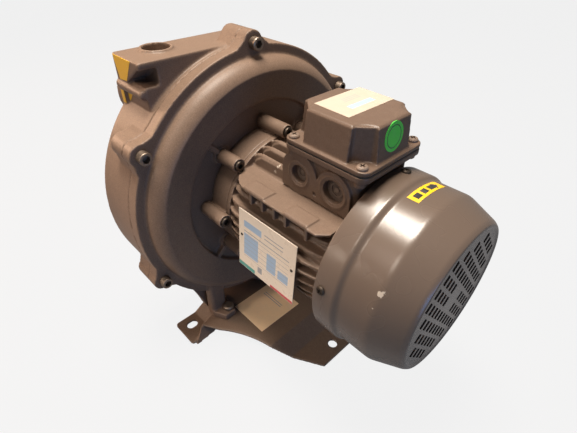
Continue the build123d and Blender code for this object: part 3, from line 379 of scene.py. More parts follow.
def from_bmesh(name: str, bm: BMesh, smooth_deg: float | None = 40.0) -> Object:
    """Turn a bmesh into an object with outward normals.

    Args:
        name: the object's name.
        bm: the bmesh, freed here.
        smooth_deg: edges below this angle are shaded smooth, or None for flat faces.

    Returns:
        The object.
    """
    bmesh.ops.remove_doubles(bm, verts=bm.verts, dist=1e-6)
    bmesh.ops.recalc_face_normals(bm, faces=bm.faces)
    mesh = bpy.data.meshes.new(name)
    bm.to_mesh(mesh)
    bm.free()
    obj = link(name, mesh)
    if smooth_deg is not None:
        shade(obj, smooth_deg)
    return obj


def shade(obj: Object, angle_deg: float) -> None:
    """Smooth shading that breaks at edges sharper than the angle."""
    mesh = obj.data
    mesh.polygons.foreach_set("use_smooth", [True] * len(mesh.polygons))
    mesh.set_sharp_from_angle(angle=math.radians(angle_deg))


def bake_modifiers(obj: Object) -> Object:
    """Replace the object's mesh by its evaluated one and drop the modifiers."""
    bpy.context.view_layer.update()
    graph = bpy.context.evaluated_depsgraph_get()
    mesh = bpy.data.meshes.new_from_object(obj.evaluated_get(graph), depsgraph=graph)
    old = obj.data
    obj.modifiers.clear()
    obj.data = mesh
    bpy.data.meshes.remove(old)
    return obj


def dress(obj: Object, finish: Finish, slot: str | None, body: str = STILL_BODY,
          stands_for: Sequence[str] = ()) -> Object:
    """Give a finished piece its material and body, and hide the CAD nodes that it stands for.

    Args:
        obj: the piece.
        finish: its finish, unless its faces have materials.
        slot: the record's material slot, or None; not used.
        body: the CAD body it rides on.
        stands_for: CAD nodes that it replaces.

    Returns:
        The piece.
    """
    if not obj.data.materials:
        obj.data.materials.append(finish.material())
    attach(obj, body)
    if stands_for:
        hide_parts(*stands_for)
    log.info("%s: %d faces", obj.name, len(obj.data.polygons))
    return obj


def row_point(x: float, y: float, z_rel: float) -> Vector:
    """Point given in millimetres from the shaft axis, as a row-frame vector."""
    return Vector((x, y, z_rel + SHAFT_HEIGHT)) * MM


def on_circle(x: float, radius: float, angle_deg: float) -> tuple[Vector, Vector]:
    """Point on a circle about the shaft and the outward direction there."""
    a = math.radians(angle_deg)
    out = Vector((0.0, math.cos(a), math.sin(a)))
    return row_point(x, radius * out.y, radius * out.z), out


def rounded(points: Sequence[tuple[float, float, float]], steps: int = 6) -> list[Pair]:
    """Polyline with its corners rounded.

    Args:
        points: (x, r, corner radius) in millimetres.
        steps: segments in each corner.

    Returns:
        The (x, r) points.
    """
    out: list[Pair] = []
    last = len(points) - 1
    for index, (x, r, bend) in enumerate(points):
        here = Vector((x, r))
        if bend <= 0 or index in (0, last):
            out.append((x, r))
            continue
        back = (Vector(points[index - 1][:2]) - here)
        ahead = (Vector(points[index + 1][:2]) - here)
        reach = min(bend, back.length * 0.49, ahead.length * 0.49)
        start, end = here + back.normalized() * reach, here + ahead.normalized() * reach
        for step in range(steps + 1):
            t = step / steps
            p = start.lerp(here, t).lerp(here.lerp(end, t), t)
            out.append((p.x, p.y))
    return out


def turned(outline: Outline, sides: int, place: Place, closed: bool = False, inks: Sequence[int] = ()) -> BMesh:
    """Turn an outline of (height, radius) millimetres into a skin.

    Args:
        outline: the points; a point at radius 0 becomes a pole.
        sides: steps round the axis.
        place: map from the height and the two cross directions to the mesh's own frame.
        closed: join the last point to the first.
        inks: material index of each band between two points, or none.

    Returns:
        The bmesh.
    """
    bm = bmesh.new()
    angles = [math.tau * step / sides for step in range(sides)]
    rings = []
    for height, radius in outline:
        around = angles if radius > POLE_RADIUS else [0.0]
        rings.append([bm.verts.new(place(height, radius * math.cos(a), radius * math.sin(a))) for a in around])
    bands = list(zip(rings, rings[1:] + rings[:1] if closed else rings[1:]))
    for index, (a, b) in enumerate(bands):
        if len(a) == len(b) == 1:
            continue
        for i in range(sides):
            j = (i + 1) % sides
            if len(a) == 1:
                corners = (a[0], b[i], b[j])
            elif len(b) == 1:
                corners = (a[i], b[0], a[j])
            else:
                corners = (a[i], b[i], b[j], a[j])
            bm.faces.new(corners).material_index = inks[index] if inks else 0
    return bm


def add_prism(bm: BMesh, near: Sequence[Vector], far: Sequence[Vector]) -> None:
    """Add a closed prism between two matching outlines."""
    first, last = [bm.verts.new(p) for p in near], [bm.verts.new(p) for p in far]
    faces = [bm.faces.new(first), bm.faces.new(last[::-1])]
    for i, j in zip(range(len(first)), [*range(1, len(first)), 0]):
        faces.append(bm.faces.new((first[i], last[i], last[j], first[j])))
    bmesh.ops.recalc_face_normals(bm, faces=faces)


def flat_frame(origin: Point, along: Vector, across: Vector) -> Place:
    """Map of a flat sheet: origin in axis millimetres, u along, v across, height along their cross product."""
    base = row_point(*origin)
    u_dir, v_dir = along.normalized(), across.normalized()
    out = u_dir.cross(v_dir).normalized()
    return lambda u, v, h: base + (u_dir * u + v_dir * v + out * h) * MM


# ---------------------------------------------------------------- geometry node trees
class NodeGroup(Graph):
    """A Geometry Nodes tree with named inputs, a Finish among them, and one geometry output."""

    def __init__(self, name: str, inputs: Sequence[tuple[str, str]]) -> None:
        """Open the tree and its sockets.

        Args:
            name: the tree's name.
            inputs: (name, socket kind) pairs in their order.
        """
        super().__init__(bpy.data.node_groups.new(name, "GeometryNodeTree"))
        for label, kind in (*inputs, ("Finish", "Material")):
            self.tree.interface.new_socket(label, in_out="INPUT", socket_type="NodeSocket" + kind)
        self.tree.interface.new_socket("Made", in_out="OUTPUT", socket_type="NodeSocketGeometry")
        self.given = self.add("NodeGroupInput").outputs

    def close(self, geometry: Socket) -> None:
        """Give the geometry its finish and lead it out."""
        paint = self.add("GeometryNodeSetMaterial", {"Geometry": geometry, "Material": self.given["Finish"]})
        self.add("NodeGroupOutput", {0: paint.outputs[0]})

    def apply(self, obj: Object, values: dict[str, object]) -> None:
        """Run the tree on an object and keep the plain mesh.

        Args:
            obj: the object.
            values: the inputs by name, set by the identifiers of their sockets.
        """
        modifier = obj.modifiers.new(self.tree.name, "NODES")
        modifier.node_group = self.tree
        for item in self.tree.interface.items_tree:
            if item.item_type == "SOCKET" and item.in_out == "INPUT" and item.name in values:
                modifier[item.identifier] = values[item.name]
        bake_modifiers(obj)


class Repeat(NodeGroup):
    """Sets a unit piece on seats whose 'facing' vector takes the unit's +Z."""

    def __init__(self) -> None:
        """Build the tree."""
        super().__init__("set out on seats", (("Seats", "Geometry"), ("Unit", "Object"), ("Spin", "Float"),
                                              ("Seed", "Int")))
        given = self.given
        info = self.add("GeometryNodeObjectInfo", {"Object": given["Unit"]})
        facing = self.add("GeometryNodeInputNamedAttribute", {"Name": "facing"}, data_type="FLOAT_VECTOR")
        align = self.add("FunctionNodeAlignRotationToVector", {"Vector": facing.outputs["Attribute"]}, axis="Z")
        chance = self.add("FunctionNodeRandomValue", {3: given["Spin"], "Seed": given["Seed"]}, data_type="FLOAT")
        turn = self.add("ShaderNodeCombineXYZ", {"Z": chance.outputs[1]})
        spin = self.add("FunctionNodeRotateRotation", {0: align.outputs[0], 1: turn.outputs[0]},
                        rotation_space="LOCAL")
        place = self.add("GeometryNodeInstanceOnPoints", {
            "Points": given["Seats"], "Instance": info.outputs["Geometry"], "Rotation": spin.outputs[0]})
        self.close(self.add("GeometryNodeRealizeInstances", {0: place.outputs[0]}).outputs[0])

    def set_out(self, name: str, seats: Seats, unit: Object, finish: Finish, seed: int) -> Object:
        """Place the unit on every seat, each turned at random, and return one plain mesh object.

        Args:
            name: the object's name.
            seats: (point, outward direction) pairs.
            unit: the piece to repeat; it is removed afterwards.
            finish: material of the result.
            seed: seed of the random turns.

        Returns:
            The object.
        """
        mesh = bpy.data.meshes.new(name)
        mesh.from_pydata([tuple(point) for point, _ in seats], [], [])
        attribute = mesh.attributes.new("facing", "FLOAT_VECTOR", "POINT")
        attribute.data.foreach_set("vector", [value for _, out in seats for value in out])
        obj = link(name, mesh)
        self.apply(obj, {"Unit": unit, "Spin": math.tau, "Seed": seed, "Finish": finish.material()})
        bpy.data.objects.remove(unit)
        shade(obj, SCREW_SHADE_DEG)
        return obj


class Punch(NodeGroup):
    """Punches a round field of rectangular openings through a sheet that faces along the shaft."""

    def __init__(self) -> None:
        """Build the tree: a grid of bars, cut to the field, set upright and taken out of the sheet."""
        sizes = ("Pitch", "Opening Width", "Opening Height", "Corner", "Depth", "Inner Radius", "Outer Radius",
                 "Turn")
        super().__init__("punched field", (("Sheet", "Geometry"), *((label, "Float") for label in sizes),
                                           ("Across", "Int"), ("Centre", "Vector")))
        given = self.given
        span = self.math("MULTIPLY", self.math("SUBTRACT", given["Across"], 1.0), given["Pitch"])
        grid = self.add("GeometryNodeMeshGrid", {"Size X": span, "Size Y": span, "Vertices X": given["Across"],
                                                 "Vertices Y": given["Across"]})
        place = self.add("GeometryNodeInputPosition")
        reach = self.add("ShaderNodeVectorMath", {0: place.outputs[0]}, operation="LENGTH").outputs["Value"]
        low = self.math("LESS_THAN", reach, given["Inner Radius"])
        high = self.math("GREATER_THAN", reach, given["Outer Radius"])
        holes = self.add("GeometryNodeDeleteGeometry", {"Geometry": grid.outputs["Mesh"],
                                                        "Selection": self.math("MAXIMUM", low, high)}, domain="POINT")
        quad = self.add("GeometryNodeCurvePrimitiveQuadrilateral", {"Width": given["Opening Width"],
                                                                    "Height": given["Opening Height"]})
        fillet = self.add("GeometryNodeFilletCurve", {"Count": 3, "Radius": given["Corner"],
                                                      "Curve": quad.outputs[0]}, mode="POLY")
        ends = {}
        for end, share in (("Start", -0.5), ("End", 0.5)):
            depth = self.math("MULTIPLY", given["Depth"], share)
            ends[end] = self.add("ShaderNodeCombineXYZ", {"Z": depth}).outputs[0]
        line = self.add("GeometryNodeCurvePrimitiveLine", ends)
        bar = self.add("GeometryNodeCurveToMesh", {"Fill Caps": True, "Curve": line.outputs[0],
                                                   "Profile Curve": fillet.outputs[0]})
        bars = self.add("GeometryNodeInstanceOnPoints", {"Points": holes.outputs[0], "Instance": bar.outputs[0]})
        real = self.add("GeometryNodeRealizeInstances", {0: bars.outputs[0]})
        # in the sheet's plane first, then up on edge so that the field faces along the shaft
        angles = self.add("ShaderNodeCombineXYZ", {"Z": given["Turn"]})
        flat = self.add("GeometryNodeTransform", {"Geometry": real.outputs[0], "Rotation": angles.outputs[0]})
        upright = self.add("GeometryNodeTransform", {
            "Geometry": flat.outputs[0], "Rotation": (math.pi / 2, 0.0, math.pi / 2), "Translation": given["Centre"]})
        cut = self.add("GeometryNodeMeshBoolean", operation="DIFFERENCE", solver="EXACT")
        self.feed(cut.inputs["Mesh 1"], given["Sheet"])
        self.feed(cut.inputs["Mesh 2"], upright.outputs[0])
        self.close(cut.outputs[0])


# ---------------------------------------------------------------- re-skinned castings
@dataclass(frozen=True)
class PlateSeat:
    """Place of the rating plate on the motor's side, with the pads behind it."""

    centre: Point = (106.0, -71.9, -4.5)
    lean_deg: float = 4.0
    size: Pair = (75.0, 66.0)
    pad_size: Point = (10.0, 30.0, 9.0)
    pad_inset: float = 6.0
    thickness: float = 0.5
    gap: float = 0.1
    margin: float = 1.0

    def place(self) -> Place:
        """Map from the plate's own millimetres to the row frame."""
        lean = math.radians(self.lean_deg)
        return flat_frame(self.centre, Vector((1, 0, 0)), Vector((0, math.sin(lean), math.cos(lean))))

    def add_pads(self, bm: BMesh) -> None:
        """Add the two cast pads that carry the plate."""
        place = self.place()
        for side in (-1, 1):
            middle = side * (self.size[0] / 2 - self.pad_inset)
            outline = [(middle + su * self.pad_size[0] / 2, sv * self.pad_size[1] / 2)
                       for su, sv in ((-1, -1), (1, -1), (1, 1), (-1, 1))]
            add_prism(bm, [place(u, v, -self.gap) for u, v in outline],
                      [place(u, v, -self.pad_size[2]) for u, v in outline])

    def clear(self, mesh: Mesh) -> None:
        """Press whatever stands through the plate back to the pads' faces."""
        place = self.place()
        base, u_dir = place(0, 0, 0), place(1, 0, 0) - place(0, 0, 0)
        v_dir, out = place(0, 1, 0) - base, place(0, 0, 1) - base
        for vertex in mesh.vertices:
            step = vertex.co - base
            u, v, h = (step.dot(axis) / MM ** 2 for axis in (u_dir, v_dir, out))
            behind = abs(u) < self.size[0] / 2 + self.margin and abs(v) < self.size[1] / 2 + self.margin
            if behind and h > -self.gap:
                vertex.co = place(u, v, -self.gap)


PLATE_SEAT = PlateSeat()


def thicken_fins(bm: BMesh) -> None:
    """Bring the upright fins beside the terminal box to their cast thickness and add the plate's pads."""
    crest = ((47.5, 61.0), (51.0, 64.8), (58.0, 68.4), (93.0, 68.4))  # x and radius
    half, foot_z = 2.9, 47.0
    for y in (-30.0, -19.5, -8.0, 8.0, 19.5, 30.0):
        top = [(x, math.sqrt(r * r - (abs(y) + half) ** 2)) for x, r in crest]
        outline = [(crest[0][0], foot_z), *top, (crest[-1][0], foot_z)]
        add_prism(bm, *([row_point(x, side, z) for x, z in outline] for side in (y - half, y + half)))
    PLATE_SEAT.add_pads(bm)


def close_scoops(bm: BMesh) -> None:
    """Flatten the lid's four corner scoops with upright blocks set across them."""
    size, middle_z = Vector((8.0, 14.6, 28.0)) * MM, 110.0
    for x, y, turn in ((159.6, 22.37, 47.2), (109.4, 22.37, 132.8), (159.6, -22.37, -47.2),
                       (109.4, -22.37, -132.8)):
        block = bmesh.ops.create_cube(bm, size=1.0)["verts"]
        bmesh.ops.scale(bm, verts=block, vec=size)
        spin = Matrix.Rotation(math.radians(turn), 4, "Z")
        bmesh.ops.transform(bm, verts=block, matrix=Matrix.Translation(row_point(x, y, middle_z)) @ spin)


@dataclass(frozen=True)
class Casting:
    """A piece skinned from its CAD solid, with edges and corners softened as cast or pressed."""

    name: str
    node: str
    finish: Finish
    slot: str
    voxel_mm: float
    rounds: int = 2
    softness: float = 0.5
    most_triangles: int = 190_000
    add: Callable[[BMesh], None] | None = None
    trim: Callable[[Mesh], None] | None = None

    def build(self) -> Object:
        """Skin the solid, thin its flat areas and dress the piece."""
        bm = bmesh.new()
        bm.from_mesh(frame["nodes"][self.node].data)
        bmesh.ops.remove_doubles(bm, verts=bm.verts, dist=1e-6)
        if self.add:
            self.add(bm)
        mesh = bpy.data.meshes.new(self.name)
        bm.to_mesh(mesh)
        bm.free()
        obj = link(self.name, mesh)
        remesh = obj.modifiers.new("skin", "REMESH")
        remesh.mode = "VOXEL"
        remesh.voxel_size = self.voxel_mm * MM
        relax = obj.modifiers.new("soften", "SMOOTH")
        relax.factor = self.softness
        relax.iterations = self.rounds
        bake_modifiers(obj)
        if self.trim:
            self.trim(obj.data)
        triangles = 2 * len(obj.data.polygons)
        if triangles > self.most_triangles:
            thin = obj.modifiers.new("thin", "DECIMATE")
            thin.ratio = self.most_triangles / triangles
            bake_modifiers(obj)
        shade(obj, CASTING_SHADE_DEG)
        return dress(obj, self.finish, self.slot, stands_for=[self.node])


CASTINGS = (
    Casting("housing_front", "front_cover", Finish.HOUSING, "housing_paint", 1.05),
    Casting("housing_rear", "rear_housing", Finish.HOUSING, "housing_paint", 1.15),
    Casting("motor_bell", "drive_end_shield", Finish.MOTOR, "motor_paint", 0.85, most_triangles=130_000),
    Casting("motor_body", "motor_frame", Finish.MOTOR, "motor_paint", 0.85, add=thicken_fins,
            trim=PLATE_SEAT.clear),
    Casting("motor_rear_shield", "fan_end_shield", Finish.MOTOR, "motor_paint", 1.3, most_triangles=60_000),
    Casting("box_base", "terminal_box_base", Finish.BOX, "box_paint", 0.65, most_triangles=130_000),
    Casting("box_lid", "terminal_lid", Finish.BOX, "box_paint", 0.65, 9, most_triangles=110_000,
            add=close_scoops),
    Casting("base_sheet", "base_plate", Finish.BASE, "base_paint", 0.9, most_triangles=110_000),
)


# ---------------------------------------------------------------- cowl
@dataclass
class Cowl:
    """Deep-drawn fan cowl with its punched face."""

    open_x: float = 171.6
    step_x: float = 191.0
    cone_x: float = 222.0
    end_x: float = 249.6
    recess: float = 1.0
    band: float = 80.8
    drum: float = 78.0
    face: float = 65.0
    sheet: float = 1.5
    segments: int = 180
    pitch: float = 11.44
    across: int = 10
    field_pitches: Pair = (1.0, 4.85)
    opening: Pair = (6.8, 8.2)
    opening_corner: float = 0.9
    punch_depth: float = 6.0
    punch_back: float = 1.7
    turn_deg: float = -48.0

    def outline(self) -> list[Pair]:
        """Outside from the open end to the face, then back inside."""
        end, face_x, inner = self.end_x, self.end_x - self.recess, self.drum - self.sheet
        outside = [(self.open_x, self.band - 0.2, 0), (self.open_x + 0.5, self.band, 0.5),
                   (self.step_x, self.band, 2.0), (self.step_x + 3.6, self.drum, 2.0), (self.cone_x, self.drum, 3.0),
                   (end - 3.2, self.face + 3.4, 3.0), (end - 0.4, self.face + 1.0, 2.0),
                   (end, self.face - 1.0, 0.8), (face_x, self.face - 3.0, 0.8), (face_x, 0, 0)]
        inside = [(face_x - self.sheet, 0, 0), (face_x - self.sheet, self.face - 4.0, 0.5),
                  (end - 2.0, self.face - 0.5, 1.0), (end - 4.4, self.face + 2.0, 1.5),
                  (self.cone_x - 0.4, inner, 3.0), (self.step_x + 3.0, inner, 2.0),
                  (self.step_x - 0.6, self.band - self.sheet, 2.0), (self.open_x, self.band - self.sheet, 0)]
        return rounded(outside) + rounded(inside)

    def build(self) -> Object:
        """Spin the shell, punch the face and dress the piece."""
        shell = from_bmesh("fan_cowl", turned(self.outline(), self.segments, row_point, closed=True))
        width, height = self.opening
        least, most = (count * self.pitch * MM for count in self.field_pitches)
        Punch().apply(shell, {
            "Pitch": self.pitch * MM, "Opening Width": width * MM, "Opening Height": height * MM,
            "Corner": self.opening_corner * MM, "Depth": self.punch_depth * MM, "Inner Radius": least,
            "Outer Radius": most, "Across": self.across, "Turn": math.radians(self.turn_deg),
            "Centre": row_point(self.end_x - self.punch_back, 0, 0), "Finish": Finish.COWL.material()})
        shade(shell, COWL_SHADE_DEG)
        return dress(shell, Finish.COWL, "cowl_paint", stands_for=["fan_cover"])


# ---------------------------------------------------------------- fasteners
def upright(height: float, across: float, along: float) -> Vector:
    """Point of a unit piece that stands on +Z with its seat at height 0."""
    return Vector((across, along, height)) * MM


def carve(obj: Object, outline: Outline, low: float, high: float) -> Object:
    """Cut an upright prism out of a closed mesh.

    Args:
        obj: the mesh object.
        outline: the prism's plan in millimetres.
        low: height of its foot.
        high: height of its top.

    Returns:
        The object.
    """
    bm = bmesh.new()
    add_prism(bm, *([upright(height, x, y) for x, y in outline] for height in (low, high)))
    cutter = from_bmesh("cutter", bm)
    modifier = obj.modifiers.new("carve", "BOOLEAN")
    modifier.operation = "DIFFERENCE"
    modifier.solver = "EXACT"
    modifier.object = cutter
    bake_modifiers(obj)
    bpy.data.objects.remove(cutter)
    return obj


def socket_head(radius: float, height: float, key: float) -> Object:
    """Socket-head cap with a washer face, a rounded crown and a hexagon recess."""
    outline = [(-2.0, 0), (-2.0, radius * 0.5), (0, radius * 0.5), (0, radius - 0.3), (0.3, radius),
               (height - 0.9, radius), (height - 0.35, radius - 0.25), (height, radius - 0.9), (height, 0)]
    head = from_bmesh("head", turned(outline, 32, upright))
    corner = key / math.sqrt(3)
    hexagon = [(corner * math.cos(math.radians(60 * i)), corner * math.sin(math.radians(60 * i)))
               for i in range(6)]
    return carve(head, hexagon, height * 0.25, height + 1)


def cross_head(radius: float, height: float) -> Object:
    """Pan head with a crowned top and a cross recess."""
    outline = [(-2.0, 0), (-2.0, radius * 0.5), (0, radius * 0.5), (0, radius), (height * 0.5, radius),
               (height * 0.82, radius * 0.86), (height * 0.97, radius * 0.55), (height, 0)]
    head = from_bmesh("head", turned(outline, 32, upright))
    a, b = radius * 0.56, radius * 0.15
    cross = [(a, -b), (a, b), (b, b), (b, a), (-b, a), (-b, b), (-a, b), (-a, -b), (-b, -b), (-b, -a), (b, -a),
             (b, -b)]
    return carve(head, cross, height * 0.35, height + 1)


def rivet_head(radius: float, height: float) -> Object:
    """Domed rivet head."""
    outline = [(-0.8, 0), (-0.8, radius * 0.6), (0, radius * 0.6), (0, radius), (height * 0.5, radius * 0.9),
               (height * 0.85, radius * 0.6), (height, radius * 0.25), (height, 0)]
    return from_bmesh("head", turned(outline, 24, upright))


@dataclass
class Fasteners:
    """Visible screws and rivets, set out on their seats."""

    repeat: Repeat = field(default_factory=Repeat)
    lug_circle: float = 147.0
    lug_angles: tuple[int, ...] = (90, 148, 206, 270, 334, 32)
    rim_face_x: float = 13.0
    rim_head: Point = (5.9, 7.9, 6.6)
    boss_circle: float = 74.0
    bosses: tuple[tuple[int, float], ...] = ((88, 56.0), (178, 50.0), (268, 56.0), (358, 50.0), (43, 47.0),
                                             (133, 47.0), (223, 47.0), (313, 47.0))
    boss_sink: float = 3.0
    boss_head: Point = (4.9, 4.9, 5.0)
    cowl_screw_x: float = 179.0
    cowl_band: float = 80.8
    cowl_angles: tuple[int, ...] = (80, 170, 260, 350)
    cowl_head: Pair = (3.9, 2.4)
    lid_centre_x: float = 134.5
    lid_pitch: Pair = (69.0, 65.0)
    lid_seat_z: float = 96.8
    lid_head: Pair = (4.4, 3.0)
    rivet_u: float = 33.2
    rivet_v: float = 4.8
    rivet_seat: float = 0.5
    rivet_size: Pair = (1.5, 0.8)

    def build(self) -> None:
        """Make every set."""
        along, up = Vector((1.0, 0.0, 0.0)), Vector((0.0, 0.0, 1.0))
        rim = [(on_circle(self.rim_face_x, self.lug_circle, a)[0], along) for a in self.lug_angles]
        self.set_kind("rim_screws", rim, socket_head(*self.rim_head), Finish.ZINC, "screw_zinc",
                      "housing_screws", 3)
        boss = [(on_circle(end - self.boss_sink, self.boss_circle, a)[0], along) for a, end in self.bosses]
        self.set_kind("bell_screws", boss, socket_head(*self.boss_head), Finish.BLACK_SCREW, "screw_zinc",
                      "shield_screws", 5)
        band = [on_circle(self.cowl_screw_x, self.cowl_band, a) for a in self.cowl_angles]
        self.set_kind("cowl_screws", band, cross_head(*self.cowl_head), Finish.BLACK_SCREW, "screw_painted",
                      "fan_cover_screws", 7)
        place = PLATE_SEAT.place()
        outward = (place(0, 0, 1) - place(0, 0, 0)).normalized()
        rivets = [(place(u, self.rivet_v, self.rivet_seat), outward) for u in (-self.rivet_u, self.rivet_u)]
        self.set_kind("plate_rivets", rivets, rivet_head(*self.rivet_size), Finish.BLACK_SCREW, "plate_aluminium",
                      "nameplate_rivets", 11)
        half_x, half_y = (pitch / 2 for pitch in self.lid_pitch)
        lid = [(row_point(self.lid_centre_x + sx * half_x, sy * half_y, self.lid_seat_z), up)
               for sx in (-1, 1) for sy in (-1, 1)]
        self.set_kind("lid_screws", lid, cross_head(*self.lid_head), Finish.SCREW, "screw_painted",
                      "terminal_lid_screws", 9)

    def set_kind(self, name: str, seats: Seats, unit: Object, finish: Finish,
                 slot: str, node: str, seed: int) -> None:
        """Set one kind of head out and let it stand for its CAD node.

        Args:
            name: the piece's name.
            seats: (point, outward direction) pairs.
            unit: one head.
            finish: its finish.
            slot: the record's material slot.
            node: the CAD node that it replaces.
            seed: seed of the random turns.
        """
        dress(self.repeat.set_out(name, seats, unit, finish, seed), finish, slot, stands_for=[node])


# ---------------------------------------------------------------- printed pieces
@dataclass(frozen=True)
class Patch:
    """A rectangle of ink on a printed piece: low and high corner in its own plane, millimetres."""

    u0: float
    v0: float
    u1: float
    v1: float
    ink: Finish


@dataclass
class Print:
    """A thin printed sheet whose ink areas are faces of their own.

    The sheet's plane is given by to_row, which takes (u, v, height) millimetres to the row frame.
    """

    name: str
    size: Pair
    thickness: float
    ground: Finish
    to_row: Place
    patches: Sequence[Patch] = ()
    step: float = 4.0
    slot: str | None = None
    stands_for: Sequence[str] = ()

    def _cuts(self, half: float, values: Iterable[float]) -> list[float]:
        """Sorted grid lines from -half to half that include the given values."""
        lines = {round(value, 4) for value in values if -half < value < half} | {-half, half}
        count = max(1, int(2 * half / self.step))
        lines |= {round(-half + 2 * half * i / count, 4) for i in range(1, count)}
        kept: list[float] = []
        for value in sorted(lines):
            if not kept or value - kept[-1] > LEAST_CUT_MM:
                kept.append(value)
        return kept

    def build(self) -> Object:
        """Make the sheet with its inks as face materials, and dress it."""
        us = self._cuts(self.size[0] / 2, [v for p in self.patches for v in (p.u0, p.u1)])
        vs = self._cuts(self.size[1] / 2, [v for p in self.patches for v in (p.v0, p.v1)])
        inks = [self.ground]
        bm = bmesh.new()
        top, under = ([[bm.verts.new(self.to_row(u, v, height)) for v in vs] for u in us]
                      for height in (self.thickness, 0.0))
        for i in range(len(us) - 1):
            for j in range(len(vs) - 1):
                face = bm.faces.new((top[i][j], top[i + 1][j], top[i + 1][j + 1], top[i][j + 1]))
                mid_u, mid_v = (us[i] + us[i + 1]) / 2, (vs[j] + vs[j + 1]) / 2
                for patch in self.patches:
                    if patch.u0 < mid_u < patch.u1 and patch.v0 < mid_v < patch.v1:
                        if patch.ink not in inks:
                            inks.append(patch.ink)
                        face.material_index = inks.index(patch.ink)
                bm.faces.new((under[i][j], under[i][j + 1], under[i + 1][j + 1], under[i + 1][j]))
        for i in range(len(us) - 1):
            for j in (0, len(vs) - 1):
                bm.faces.new((top[i][j], top[i + 1][j], under[i + 1][j], under[i][j]))
        for j in range(len(vs) - 1):
            for i in (0, len(us) - 1):
                bm.faces.new((top[i][j], top[i][j + 1], under[i][j + 1], under[i][j]))
        obj = from_bmesh(self.name, bm, PAPER_SHADE_DEG)
        for ink in inks:
            obj.data.materials.append(ink.material())
        return dress(obj, self.ground, self.slot, stands_for=self.stands_for)


def drum_frame(x: float, angle_deg: float, radius: float) -> Place:
    """Map of a sheet stuck round a drum about the shaft: u along the shaft, v round it."""
    return lambda u, v, h: on_circle(x + u, radius + h, angle_deg + math.degrees(v / radius))[0]


